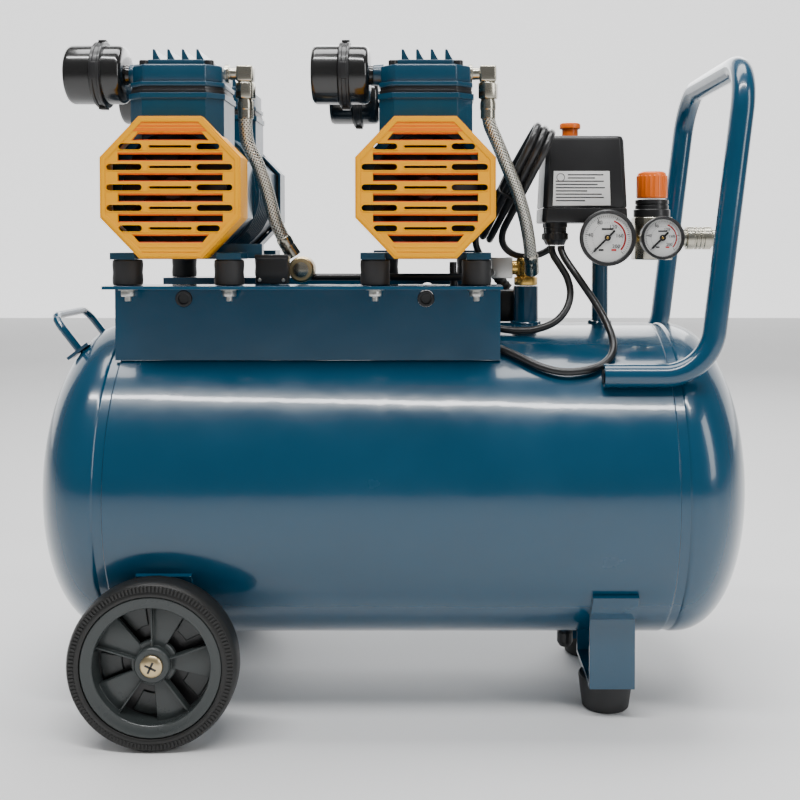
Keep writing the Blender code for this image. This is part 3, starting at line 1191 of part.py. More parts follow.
# ---------------------------------------------------------------- assembly
def main():
    make_tank()
    make_rail("rail_front", -1)
    make_rail("rail_rear", 1)
    make_push_handle()
    make_lift_handle()
    make_wheel_bracket()
    for name, side in (("front", -1), ("rear", 1)):
        make_foot(name, side)
        make_wheel(name, side)
    for pump in (1, 2):
        x = PUMP_1_X + (pump - 1) * PUMP_SPACING
        tag = "pump_{}_".format(pump)
        body = make_pump_body(tag + "body", x)
        if pump == 1:
            make_terminal_box(body, x)
        make_rotor(tag + "rotor", x)
        for end, side in (("front", -1), ("rear", 1)):
            make_cylinder_head(tag + "head_" + end, x, side, side < 0)
            make_filter(tag + "filter_" + end, x, side)
            make_fan_cover(tag + "cover_" + end, x, side)
            for place, foot_side in (("left", -1), ("right", 1)):
                make_mount(tag + "mount_" + end + "_" + place, x + foot_side * MOUNT_X, side)
    make_hose("hose_1", PUMP_1_X, HOSE_1_ROUTE)
    make_hose("hose_2", PUMP_1_X + PUMP_SPACING, HOSE_2_ROUTE)
    make_manifold()
    make_switch()
    make_gauge("tank", TANK_GAUGE_X, TANK_GAUGE_RADIUS, TANK_GAUGE_FACE_Y, -MANIFOLD_HALF)
    make_gauge("line", LINE_GAUGE_X, LINE_GAUGE_RADIUS, LINE_GAUGE_FACE_Y, -REGULATOR_BODY_HALF)
    make_regulator()
    make_drain_knob()
    make_leads()


main()
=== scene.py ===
"""Looks of the air compressor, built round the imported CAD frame. Metres, +Z up, gauges face -Y."""
import math

import bmesh
import bpy
from mathutils import Matrix, Vector, noise
from mathutils.geometry import tessellate_polygon


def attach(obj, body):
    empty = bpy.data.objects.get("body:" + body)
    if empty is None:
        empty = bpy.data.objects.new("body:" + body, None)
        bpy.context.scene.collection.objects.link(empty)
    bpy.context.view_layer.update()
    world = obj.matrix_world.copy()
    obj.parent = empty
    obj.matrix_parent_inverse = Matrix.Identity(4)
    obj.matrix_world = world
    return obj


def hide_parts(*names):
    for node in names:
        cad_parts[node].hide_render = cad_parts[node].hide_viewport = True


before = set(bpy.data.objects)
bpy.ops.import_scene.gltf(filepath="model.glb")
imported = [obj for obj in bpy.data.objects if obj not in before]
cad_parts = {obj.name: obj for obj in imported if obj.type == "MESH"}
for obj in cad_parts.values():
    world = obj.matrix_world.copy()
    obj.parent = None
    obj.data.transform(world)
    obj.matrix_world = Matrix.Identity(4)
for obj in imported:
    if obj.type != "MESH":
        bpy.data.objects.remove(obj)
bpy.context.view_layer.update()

ROOT = "compressor"
TANK_Z, TANK_R, SHELL_HALF = 0.205, 0.150, 0.2503
PUMPS = {"pump_1": -0.1915, "pump_2": 0.0295}   # where each pump's middle is along X
SHAFT_Z, BARREL_Y, FILTER_Z = 0.483, 0.086, 0.5877
MOUNT_X, MOUNT_Y = 0.0453, 0.110                # a pump's feet, from its middle
HANDLE_Y, HANDLE_Z = 0.116, 0.3168              # the push handle's feet on the tank
WHEEL_CENTRE = Vector((-0.2045, 0, 0.0735))
VALVE_X, POST_X = 0.128, 0.2016                 # check valve's stub and the switch's post
SWITCH_X, GAUGE_Z, REGULATOR_X = 0.182, 0.4395, 0.253
PITCH, BAR = 0.0177, 0.0103                     # spacing and height of a fan cover's bars
SIDES = {"front": -1, "rear": 1}


# ---------------------------------------------------------------- materials
def node(tree, kind, **values):
    """A new shader node with its inputs set. An underscore in a name stands for a space."""
    made = tree.nodes.new("ShaderNode" + kind)
    for name, value in values.items():
        made.inputs[name.replace("_", " ")].default_value = value
    return made


def material(name, colour, second, rough, metal=0.0, coat=0.0, patch=18.0, grain=900.0,
             bump=0.08, depth=0.0002, edge=0.0007, spread=0.08, wave=0.0):
    """A finish with colour patches, uneven gloss, fine grain and eased edges."""
    made = bpy.data.materials.new(name)
    made.use_nodes = True
    tree = made.node_tree
    link = tree.links.new
    shader = tree.nodes["Principled BSDF"].inputs
    shader["Metallic"].default_value = metal
    shader["Coat Weight"].default_value = coat
    shader["Coat Roughness"].default_value = 0.06
    place = node(tree, "TexCoord").outputs["Object"]
    cloud = node(tree, "TexNoise", Scale=patch, Detail=5.0)
    fine = node(tree, "TexNoise", Scale=grain, Detail=3.0)
    mix = node(tree, "Mix")
    mix.data_type = "RGBA"
    mix.inputs[6].default_value = (*colour, 1)
    mix.inputs[7].default_value = (*second, 1)
    gloss = node(tree, "MapRange", From_Min=0.15, From_Max=0.85,
                 To_Min=max(0.03, rough - spread), To_Max=rough + spread)
    round_edge = node(tree, "Bevel", Radius=edge)
    round_edge.samples = 4
    relief = node(tree, "Bump", Strength=bump, Distance=depth)
    for texture in (cloud, fine):
        link(place, texture.inputs["Vector"])
    link(cloud.outputs["Fac"], mix.inputs[0])
    link(mix.outputs[2], shader["Base Color"])
    link(cloud.outputs["Fac"], gloss.inputs["Value"])
    link(gloss.outputs["Result"], shader["Roughness"])
    link(fine.outputs["Fac"], relief.inputs["Height"])
    link(round_edge.outputs["Normal"], relief.inputs["Normal"])
    link(relief.outputs["Normal"], shader["Normal"])
    if wave:
        slow = node(tree, "TexNoise", Scale=wave)
        swell = node(tree, "Bump", Strength=0.25, Distance=0.0012)
        link(place, slow.inputs["Vector"])
        link(slow.outputs["Fac"], swell.inputs["Height"])
        link(relief.outputs["Normal"], swell.inputs["Normal"])
        link(swell.outputs["Normal"], shader["Normal"])
        link(swell.outputs["Normal"], shader["Coat Normal"])
    return made



def braid_material():
    """Woven steel wires: two crossing spirals of strands with dark gaps."""
    made = material("steel_braid", (0.62, 0.6, 0.55), (0.42, 0.41, 0.38), 0.3, metal=1.0, edge=0.0003)
    tree = made.node_tree
    link = tree.links.new
    shader = tree.nodes["Principled BSDF"].inputs
    uv = node(tree, "UVMap")
    uv.uv_map = "UVMap"
    heights = []
    for turn in (1, -1):
        slant = node(tree, "Mapping", Rotation=(0, 0, turn * math.radians(45)))
        stripe = node(tree, "TexWave", Scale=1.7)
        link(uv.outputs["UV"], slant.inputs["Vector"])
        link(slant.outputs["Vector"], stripe.inputs["Vector"])
        heights.append(stripe.outputs["Fac"])
    weave = node(tree, "Math")
    weave.operation = "MAXIMUM"
    for i, height in enumerate(heights):
        link(height, weave.inputs[i])
    ramp = node(tree, "ValToRGB")
    gap, wire = ramp.color_ramp.elements
    gap.color, gap.position = (0.05, 0.045, 0.04, 1), 0.25
    wire.color, wire.position = (0.80, 0.77, 0.68, 1), 0.7
    link(weave.outputs["Value"], ramp.inputs["Fac"])
    link(ramp.outputs["Color"], shader["Base Color"])
    lift = node(tree, "Bump", Strength=0.9, Distance=0.0005)
    link(weave.outputs["Value"], lift.inputs["Height"])
    link(lift.outputs["Normal"], shader["Normal"])
    return made



PAINT = material("teal_paint", (0.0000, 0.044, 0.092), (0.0002, 0.054, 0.110), 0.22, coat=0.6, grain=420,
                 bump=0.10, depth=0.00015, wave=26.0)
CAST = material("teal_cast", (0.0008, 0.036, 0.074), (0.0015, 0.052, 0.098), 0.33, coat=0.4, grain=260,
                bump=0.35, depth=0.0006, edge=0.0012)
YELLOW = material("yellow_plastic", (1.0, 0.45, 0.0), (0.95, 0.38, 0.0), 0.42, edge=0.0011)
YELLOW.node_tree.nodes["Principled BSDF"].inputs["Specular IOR Level"].default_value = 0.12
# Darker orange that paints the shade in the front fan covers' recesses.
ORANGE_PAINTED_SHADE = material("orange_painted_shade", (0.95, 0.22, 0.0), (0.86, 0.16, 0.0), 0.45, edge=0.0006)
ORANGE_PAINTED_SHADE.node_tree.nodes["Principled BSDF"].inputs["Specular IOR Level"].default_value = 0.22
BLACK = material("black_plastic", (0.010, 0.010, 0.011), (0.020, 0.020, 0.021), 0.34, coat=0.1, bump=0.15)
SATIN = material("black_satin", (0.006, 0.006, 0.006), (0.012, 0.012, 0.012), 0.2, coat=0.5, bump=0.04)
GREY = material("grey_plastic", (0.030, 0.036, 0.036), (0.042, 0.050, 0.050), 0.30, bump=0.2, edge=0.001)
ORANGE = material("orange_plastic", (0.90, 0.17, 0.002), (0.80, 0.13, 0.001), 0.34, coat=0.15)
RUBBER = material("rubber", (0.012, 0.012, 0.013), (0.024, 0.024, 0.025), 0.55, bump=0.3, grain=600)
CABLE = material("cable_rubber", (0.008, 0.008, 0.009), (0.016, 0.016, 0.017), 0.36, bump=0.12, coat=0.1)
TYRE = material("tyre_rubber", (0.006, 0.006, 0.006), (0.014, 0.014, 0.013), 0.48, bump=0.4, grain=700)
ZINC = material("zinc", (0.62, 0.62, 0.60), (0.48, 0.47, 0.43), 0.32, metal=1.0, bump=0.12)
GOLD = material("zinc_yellow", (0.72, 0.53, 0.24), (0.60, 0.50, 0.33), 0.3, metal=1.0, bump=0.12)
NICKEL = material("nickel", (0.56, 0.53, 0.45), (0.40, 0.38, 0.31), 0.24, metal=1.0, bump=0.06)
BRASS = material("brass", (0.80, 0.52, 0.14), (0.62, 0.38, 0.10), 0.26, metal=1.0, bump=0.1)
ALUMINIUM = material("aluminium", (0.70, 0.69, 0.67), (0.55, 0.54, 0.52), 0.42, metal=1.0, bump=0.25,
                     grain=500)
WHITE = material("dial_white", (0.86, 0.86, 0.84), (0.80, 0.80, 0.79), 0.42, bump=0.03)
RED = material("dial_red", (0.70, 0.03, 0.03), (0.60, 0.02, 0.02), 0.45, bump=0.03)
# A deeper orange that paints the shade on the louvres behind the front covers' bars.
LOUVRE_PAINTED_SHADE = material("yellow_louvre_painted_shade", (0.85, 0.13, 0.0), (0.70, 0.08, 0.0), 0.45, edge=0.0006)
FAN = material("fan_red", (0.014, 0.0015, 0.001), (0.030, 0.003, 0.002), 0.4, bump=0.15)
BRAID = braid_material()


def lens_material():
    """Clear gauge window."""
    made = material("gauge_lens", (0.02, 0.02, 0.02), (0.03, 0.03, 0.03), 0.06, bump=0.01, spread=0.02)
    shader = made.node_tree.nodes["Principled BSDF"]
    shader.inputs["Alpha"].default_value = 0.07
    shader.inputs["Coat Weight"].default_value = 0.6
    return made


LENS = lens_material()


# ---------------------------------------------------------------- shapes: (vertices, faces, uvs or None)
def spin(along, across, up, axis):
    """A point given along an axis, and across it."""
    return {"X": (along, across, up), "Y": (across, along, up), "Z": (across, up, along)}[axis]


def lathe(profile, axis, centre=(0, 0, 0), sides=64, turn=0.0, closed=False):
    """(along, radius) points turned round an axis through centre."""
    verts, rings, faces = [], [], []
    for along, radius in profile:
        start = len(verts)
        count = 1 if radius < 1e-6 else sides
        for i in range(count):
            a = turn + 2 * math.pi * i / sides
            verts.append(Vector(spin(along, radius * math.cos(a), radius * math.sin(a),
                                     axis)) + Vector(centre))
        rings.append(list(range(start, start + count)))
    pairs = list(zip(rings, rings[1:])) + ([(rings[-1], rings[0])] if closed else [])
    for one, two in pairs:
        for i in range(sides):
            j = (i + 1) % sides
            quad = [one[i % len(one)], one[j % len(one)], two[j % len(two)], two[i % len(two)]]
            quad = list(dict.fromkeys(quad))
            if len(quad) > 2:
                faces.append(quad)
    if not closed:
        faces += [ring for ring in (rings[0], rings[-1]) if len(ring) > 1]
    return verts, faces, None


def plate(outline, holes, low, high, plane="XZ"):
    """A flat outline with holes, given thickness along the third axis."""
    def at(p, h):
        return {"XZ": (p[0], h, p[1]), "YZ": (h, p[0], p[1]), "XY": (p[0], p[1], h)}[plane]
    loops = [outline, *holes]
    flat = [p for loop in loops for p in loop]
    verts = [at(p, low) for p in flat] + [at(p, high) for p in flat]
    count = len(flat)
    if holes:
        skin = [list(t) for t in tessellate_polygon([[Vector((*p, 0)) for p in loop] for loop in loops])]
    else:
        skin = [list(range(count))]
    faces = skin + [[i + count for i in f] for f in skin]
    start = 0
    for loop in loops:
        for i in range(len(loop)):
            a, b = start + i, start + (i + 1) % len(loop)
            faces.append([a, b, b + count, a + count])
        start += len(loop)
    return verts, faces, None


def rect(x1, z1, x2, z2):
    """A rectangular outline between two corners."""
    return [(x1, z1), (x2, z1), (x2, z2), (x1, z2)]


def box(low, high):
    """An axis-aligned block."""
    return plate(rect(low[0], low[1], high[0], high[1]), [], low[2], high[2], "XY")



def eased(shape, offset, steps=2):
    """The shape with its sharp edges rounded."""
    bm = bmesh.new()
    made = [bm.verts.new(v) for v in shape[0]]
    for f in shape[1]:
        bm.faces.new([made[i] for i in f])
    bmesh.ops.recalc_face_normals(bm, faces=bm.faces)
    sharp = [e for e in bm.edges if len(e.link_faces) == 2 and e.calc_face_angle(0) > 0.5]
    bmesh.ops.bevel(bm, geom=sharp, offset=offset, segments=steps, profile=0.5, affect="EDGES",
                    clamp_overlap=True)
    bm.verts.index_update()
    out = [v.co.copy() for v in bm.verts], [[v.index for v in f.verts] for f in bm.faces], None
    bm.free()
    return out


def moved(shape, matrix):
    """The shape put somewhere else."""
    return [matrix @ Vector(v) for v in shape[0]], shape[1], shape[2]


def about(place, angle, axis):
    """A turn round an axis through a place."""
    return Matrix.Translation(place) @ Matrix.Rotation(angle, 4,
                                                       axis) @ Matrix.Translation([-v for v in place])



def smooth_route(points, steps=6):
    """A curve through the points."""
    points = [Vector(p) for p in points]
    ends = [points[0] * 2 - points[1], *points, points[-1] * 2 - points[-2]]
    out = []
    for before, start, end, after in zip(ends, ends[1:], ends[2:], ends[3:]):
        square, cube = 2 * before - 5 * start + 4 * end - after, 3 * start - before - 3 * end + after
        for i in range(steps):
            t = i / steps
            out.append(0.5 * (2 * start + (end - before) * t + square * t ** 2 + cube * t ** 3))
    return out + [points[-1]]


def bent(points, bend, steps=12):
    """Straight runs joined by round bends."""
    points = [Vector(p) for p in points]
    out = [points[0]]
    for before, corner, after in zip(points, points[1:], points[2:]):
        d1, d2 = (corner - before).normalized(), (after - corner).normalized()
        angle = d1.angle(d2)
        start = corner - d1 * bend * math.tan(angle / 2)
        inward = (d2 - d1 * d1.dot(d2)).normalized()
        centre = start + inward * bend
        for i in range(steps + 1):
            a = angle * i / steps
            out.append(centre - inward * bend * math.cos(a) + d1 * bend * math.sin(a))
    return out + [points[-1]]


def tube(points, radius, sides=24, closed=False, caps=True, wrap=1.0):
    """A round section swept along points; radius may be one number or one for each point."""
    points = [Vector(p) for p in points]
    count = len(points)
    radii = radius if isinstance(radius, (list, tuple)) else [radius] * count
    def heading(i):
        a = points[(i - 1) % count] if closed or i else points[0]
        b = points[(i + 1) % count] if closed or i < count - 1 else points[-1]
        return (b - a).normalized()
    first = heading(0)
    side = first.orthogonal().normalized()
    verts, faces, uvs, run = [], [], [], [0.0]
    for i, p in enumerate(points):
        way = heading(i)
        side = (side - way * side.dot(way)).normalized()
        up = way.cross(side)
        for k in range(sides):
            a = 2 * math.pi * k / sides
            verts.append(p + (side * math.cos(a) + up * math.sin(a)) * radii[i])
        if i:
            run.append(run[-1] + (p - points[i - 1]).length / (2 * math.pi * radii[i]))
    for i in range(count if closed else count - 1):
        j = (i + 1) % count
        for k in range(sides):
            m = (k + 1) % sides
            faces.append([i * sides + k, i * sides + m, j * sides + m, j * sides + k])
            uvs.append([(wrap * u / sides, wrap * v) for u, v in
                        ((k, run[i]), (k + 1, run[i]), (k + 1, run[j]), (k, run[j]))])
    if not closed and caps:
        faces += [list(range(sides)), list(range((count - 1) * sides, count * sides))]
        uvs += [None, None]
    return verts, faces, uvs


def hexagon(axis, centre, flat, low, high, turn=0.0):
    """A hexagonal nut with crowned corners. flat is half its width over the flats."""
    corner = flat / math.cos(math.radians(30))
    ease = min(0.0008, (high - low) / 5)
    return eased(lathe([(low, corner - ease), (low + ease, corner), (high - ease, corner),
                        (high, corner - ease)],
                       axis, centre, 6, turn), 0.0003, 1)


def stand(name, data):
    """A new object in the scene."""
    made = bpy.data.objects.new(name, data)
    bpy.context.scene.collection.objects.link(made)
    return made


class Piece:
    """One named piece, gathered from shapes in several finishes."""

    def __init__(self, name):
        self.name, self.bm, self.finishes = name, bmesh.new(), []
        self.uv = self.bm.loops.layers.uv.new("UVMap")

    def add(self, shape, finish, ease=0.0, steps=2):
        """One more shape in a finish, its sharp edges rounded by ease. A doubled face is left out."""
        verts, faces, uvs = eased(shape, ease, steps) if ease else shape
        if finish not in self.finishes:
            self.finishes.append(finish)
        made, new = [self.bm.verts.new(v) for v in verts], []
        for i, f in enumerate(faces):
            try:
                face = self.bm.faces.new([made[k] for k in f])
            except ValueError:
                continue
            face.material_index = self.finishes.index(finish)
            face.smooth = True
            new.append(face)
            if uvs and uvs[i]:
                for loop, at in zip(face.loops, uvs[i]):
                    loop[self.uv].uv = at
        bmesh.ops.recalc_face_normals(self.bm, faces=new)
        return self

    def done(self, body, slot, *nodes, sharp=32):
        """The piece as an object that rides on a body and stands for nodes."""
        mesh = bpy.data.meshes.new(self.name)
        self.bm.to_mesh(mesh)
        self.bm.free()
        mesh.set_sharp_from_angle(angle=math.radians(sharp))
        for finish in self.finishes:
            mesh.materials.append(finish)
        made = stand(self.name, mesh)
        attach(made, body)
        if nodes:
            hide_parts(*nodes)
        return made


# ---------------------------------------------------------------- camera, light, floor
def camera():
    """At the height of the gauges, tilted down a little, square on to the front."""
    data = bpy.data.cameras.new("camera")
    data.lens, data.sensor_width = 49.05, 36.0
    data.shift_x, data.shift_y = -0.04375, -0.165
    made = stand("camera", data)
    made.location = (0.0377, -1.084, 0.438)
    made.rotation_euler = (math.radians(90 - 1.5), 0, 0)
    bpy.context.scene.camera = made



def light(name, place, aim, size, power):
    """A soft rectangular light aimed at a point."""
    data = bpy.data.lights.new(name, "AREA")
    data.shape, data.size, data.size_y, data.energy = "RECTANGLE", size[0], size[1], power
    made = stand(name, data)
    made.location = place
    made.rotation_euler = (Vector(aim) - Vector(place)).to_track_quat("-Z", "Y").to_euler()



def sheet(name, corners, finish):
    """One flat face of the studio."""
    mesh = bpy.data.meshes.new(name)
    mesh.from_pydata(corners, [], [(0, 1, 2, 3)])
    mesh.materials.append(finish)
    return stand(name, mesh)


def studio():
    """Four soft lights, a pale floor and a bright wall behind."""
    camera()
    light("key", (-0.3, -1.2, 2.6), (0, 0, 0.3), (2.6, 0.14), 62)
    light("fill", (1.7, -1.3, 1.1), (0, 0, 0.3), (0.5, 1.5), 13)
    light("top", (0, 0.1, 2.1), (0, 0, 0.3), (1.8, 0.7), 36)
    light("back", (0.3, 1.9, 1.5), (0, 0, 0.4), (1.8, 1.0), 20)
    world = bpy.data.worlds.new("world")
    world.use_nodes = True
    sky = world.node_tree.nodes["Background"].inputs
    sky["Color"].default_value = (1, 1, 1, 1)
    sky["Strength"].default_value = 0.20
    bpy.context.scene.world = world
    pale = material("floor", (0.86, 0.86, 0.86), (0.84, 0.84, 0.84), 0.6, patch=3, bump=0.02)
    floor = sheet("floor", [(-30, -30, 0), (30, -30, 0), (30, 30, 0), (-30, 30, 0)], pale)
    glow = bpy.data.materials.new("backdrop")
    glow.use_nodes = True
    bright = glow.node_tree.nodes["Principled BSDF"].inputs
    bright["Base Color"].default_value = (0.9, 0.9, 0.9, 1)
    bright["Emission Color"].default_value = (1, 1, 1, 1)
    bright["Emission Strength"].default_value = 1.3
    wall = sheet("backdrop", [(-9, 5, -0.1), (9, 5, -0.1), (9, 5, 6), (-9, 5, 6)], glow)



# ---------------------------------------------------------------- mains cord
CORD_R = 0.0035
GLAND_EXIT, GLAND_WAY = Vector((.1550, .0180, .4296)), Vector((-.781, -.020, -.625))
HANK_LOW, HANK_HIGH = Vector((.0880, .0070, .4400)), Vector((.1395, -.0735, .5410))
PLUG_TOP, PLUG_BODY_TOP = Vector((.0862, .0260, .4190)), Vector((.1115, .0310, .3876))


def hank_axes():
    """Unit vectors along the folded lead, across it, and through its turns."""
    along = (HANK_HIGH - HANK_LOW).normalized()
    across = (Vector((0, 1, 0)) - along * along.y).normalized()
    return along, across, along.cross(across)


def hank_line(first=0.04, last=2.74, steps=28):
    """Long loops side by side, in the plane of the folded lead."""
    along, across, through = hank_axes()
    run = (HANK_HIGH - HANK_LOW).length - 0.045
    middle, bend, out = (HANK_LOW + HANK_HIGH) / 2, 0.019, []
    count = int((last - first) * steps)
    for step in range(count + 1):
        turn = first + (last - first) * step / count
        t = turn % 1
        if t < 0.25:
            u, v = -bend, -run / 2 + run * t / 0.25
        elif t < 0.5:
            a = math.pi - math.pi * (t - 0.25) / 0.25
            u, v = bend * math.cos(a), run / 2 + bend * math.sin(a)
        elif t < 0.75:
            u, v = bend, run / 2 - run * (t - 0.5) / 0.25
        else:
            a = -math.pi * (t - 0.75) / 0.25
            u, v = bend * math.cos(a), -run / 2 + bend * math.sin(a)
        out.append(middle + across * u + along * v + through * (turn - 1.5) * 0.0072)
    return out


def sweep(start, leave, end, arrive, steps=22):
    """An even bend from one point and heading to another; the headings' lengths set how full it is."""
    out = []
    for i in range(steps):
        t = i / steps
        out.append(start * (2 * t ** 3 - 3 * t ** 2 + 1) + leave * (t ** 3 - 2 * t ** 2 + t)
                   + end * (3 * t ** 2 - 2 * t ** 3) + arrive * (t ** 3 - t ** 2))
    return out


def plug_piece():
    """Ribbed plug body, its tapered relief up the lead, and two pins."""
    plug = Piece("plug")
    low, high = PLUG_BODY_TOP + Vector((-.014, -.014, -.033)), PLUG_BODY_TOP + Vector((.014, .014, 0))
    plug.add(box(low, high), BLACK, 0.004, 3)
    for i in range(7):
        z = low.z + 0.0035 + i * 0.0042
        plug.add(box((low.x - 0.0011, low.y + 0.004, z), (low.x + 0.002, high.y - 0.004, z + 0.0018)),
                 BLACK, 0.0005, 1)
    relief = [PLUG_BODY_TOP.lerp(PLUG_TOP, t / 18) for t in range(19)]
    radii = [0.0066 - 0.0022 * t / 18 - (0.0008 if t % 2 else 0) for t in range(19)]
    plug.add(tube(relief, radii, 20), RUBBER)
    for dx in (-0.0065, 0.0065):
        plug.add(lathe([(high.y - 0.001, .0024), (high.y + 0.012, .0024), (high.y + 0.0132, .0015)], "Y",
                       (PLUG_BODY_TOP.x + dx, 0, .371), 16), BRASS)
    return plug.done(ROOT, "black_plastic", "mains_plug")


def tie_piece():
    """A thin band round the middle of the folded lead."""
    along, across, through = hank_axes()
    middle, loop = (HANK_LOW + HANK_HIGH) / 2, []
    for i in range(48):
        a = 2 * math.pi * i / 48
        u = max(-1, min(1, 1.25 * math.cos(a))) * 0.0238
        w = max(-1, min(1, 1.25 * math.sin(a))) * 0.0122
        loop.append(middle + across * u + through * w)
    band = Piece("cord_tie")
    band.add(tube(loop, 0.0011, 8, closed=True), RUBBER)
    return band.done(ROOT, "rubber")



def mains_cord():
    """The folded lead in one curve from its gland to its plug, the plug and the tie."""
    along = hank_axes()[0]
    hank = hank_line()
    neck = PLUG_BODY_TOP - PLUG_TOP
    leaving = (hank[-1] - hank[-2]).normalized()
    points = sweep(GLAND_EXIT, GLAND_WAY * 0.09, hank[0], along * 0.12) + hank[:-1]
    points += sweep(hank[-1], leaving * 0.07, PLUG_TOP, neck.normalized() * 0.08) + [PLUG_TOP]
    data = bpy.data.curves.new("mains_cord", "CURVE")
    data.dimensions, data.bevel_depth, data.bevel_resolution = "3D", CORD_R, 4
    data.use_fill_caps = True
    line = data.splines.new("POLY")
    line.points.add(len(points) - 1)
    for point, place in zip(line.points, points):
        point.co = (*place, 1)
    data.materials.append(CABLE)
    cord = stand("mains_cord", data)
    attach(cord, ROOT)
    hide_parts("mains_lead", "mains_hank")
    plug, band = plug_piece(), tie_piece()



# ---------------------------------------------------------------- tank and steelwork
def weld(piece, points, radius, seed, closed=True):
    """A lumpy bead of weld under the paint."""
    radii = [radius * (1 + 0.35 * noise.noise(Vector(p) * 260 + Vector((seed, 0, 0)))) for p in points]
    piece.add(tube(points, radii, 10, closed=closed), PAINT)


def tank():
    """Shell with its rolled seams, domed heads, welded stub, post and drain boss."""
    made = Piece("tank")
    half = [(SHELL_HALF - 0.0006, TANK_R), (SHELL_HALF, TANK_R - 0.0005),
            (SHELL_HALF + 0.0006, TANK_R - 0.0012),
            (SHELL_HALF + 0.0085, TANK_R - 0.0012), (SHELL_HALF + 0.0093, TANK_R - 0.0005),
            (SHELL_HALF + 0.0104, TANK_R)]
    for i in range(41):
        a = math.radians(90) * i / 40
        half.append((SHELL_HALF + 0.0125 + 0.0695 * math.sin(a) ** 0.87,
                     TANK_R * max(0, math.cos(a)) ** 0.87))
    half[-1] = (half[-1][0], 0.0)
    body = [(x / 8 * (SHELL_HALF - 0.002), TANK_R) for x in range(-8, 9)]
    made.add(lathe([(-x, r) for x, r in reversed(half)] + body + half, "X", (0, 0, TANK_Z), 144), PAINT)
    for x, radius, top in ((VALVE_X, 0.0123, 0.392), (POST_X, 0.008, 0.4235)):
        made.add(lathe([(0.350, radius), (top - 0.0006, radius), (top, radius - 0.0006),
                        (top, radius - 0.0022)],
                       "Z", (x, 0, 0), 48), PAINT)
        ring = []
        for i in range(64):
            a = 2 * math.pi * i / 64
            y = (radius + 0.0012) * math.sin(a)
            ring.append((x + (radius + 0.0012) * math.cos(a), y,
                         TANK_Z + math.sqrt(TANK_R ** 2 - y * y) + 0.0008))
        weld(made, ring, 0.0026 if radius < 0.01 else 0.0016, x * 90)
    made.add(lathe([(0.0481, 0.0092), (0.0489, 0.010), (0.0565, 0.010)], "Z", (0.168, 0, 0), 32), PAINT)
    made.done(ROOT, "teal_paint", "tank_shell", "tank_head_left", "tank_head_right")


def saddle(x, y, radius, seed, piece):
    """A short weld along a tube that lies on the tank."""
    z = TANK_Z + math.sqrt(TANK_R ** 2 - (abs(y) - radius * .9) ** 2)
    points = [(x + 0.004 * i, y - math.copysign(radius * 0.9, y), z) for i in range(9)]
    weld(piece, points, 0.0022, seed, closed=False)



def handles():
    """Round tube push handle, and the welds of the bent rod at the wheel end."""
    made = Piece("push_handle_tube")
    one_side = [(0.188, -HANDLE_Y, HANDLE_Z), (0.2818, -HANDLE_Y, HANDLE_Z), (0.3148, -HANDLE_Y, 0.596)]
    line = bent(one_side + [(x, -y, z) for x, y, z in reversed(one_side)], 0.045, 18)
    made.add(tube(line, 0.0105, 40), PAINT)
    for side in (-1, 1):
        made.add(lathe([(0.1872, 0.0082), (0.1872, 0.0062), (0.1895, 0.0062)], "X",
                       (0, side * HANDLE_Y, HANDLE_Z), 32), BLACK)
        saddle(0.205, side * HANDLE_Y, 0.0105, 3 + side, made)
    made.done(ROOT, "teal_paint", "push_handle")
    made = Piece("lift_handle_welds")
    for side in (-1, 1):
        line = [(-0.296 + 0.003 * i, side * 0.0525, 0.3315 + 0.0009 * i) for i in range(6)]
        weld(made, line, 0.0022, side, closed=False)
    made.done(ROOT, "teal_paint")



def platform_bolts():
    """Nuts, washers and stud ends under the platform, below each rubber buffer."""
    made = Piece("platform_nuts")
    for centre in PUMPS.values():
        for dx in (-MOUNT_X, MOUNT_X):
            for side in (-1, 1):
                at = (centre + dx, side * MOUNT_Y, 0)
                made.add(lathe([(0.3927, 0.0084), (0.3927, 0.0032), (0.3939, 0.0032), (0.3939, 0.0084)],
                               "Z", at, 28,
                               closed=True), ZINC)
                made.add(hexagon("Z", at, 0.0056, 0.3868, 0.3927, 0.3 + dx * 40), ZINC)
                made.add(lathe([(0.3826, 0.0022), (0.3832, 0.0029), (0.3870, 0.0029)], "Z", at, 18), ZINC)
    made.done(ROOT, "zinc")


def grommets():
    """Rubber grommets that close the cable holes of the front rail."""
    made = Piece("rail_grommets")
    for centre in PUMPS.values():
        made.add(lathe([(-.0872, 0), (-.0872, .0070), (-.0905, .0076), (-.0915, .0070), (-.0915, .0052),
                        (-.0895, .0046), (-.0895, 0)], "Y",
                       (centre, 0, .384), 32), RUBBER)
    made.done(ROOT, "rubber")


# ---------------------------------------------------------------- wheels and feet
def sector(centre, r1, r2, mid, half1, half2, steps=8):
    """A blade outline between two radii round a centre."""
    inner = [(r1, mid + half1 * (2 * i / steps - 1)) for i in range(steps + 1)]
    outer = [(r2, mid + half2 * (1 - 2 * i / steps)) for i in range(steps + 1)]
    return [(centre.x + r * math.cos(a), centre.z + r * math.sin(a)) for r, a in inner + outer]



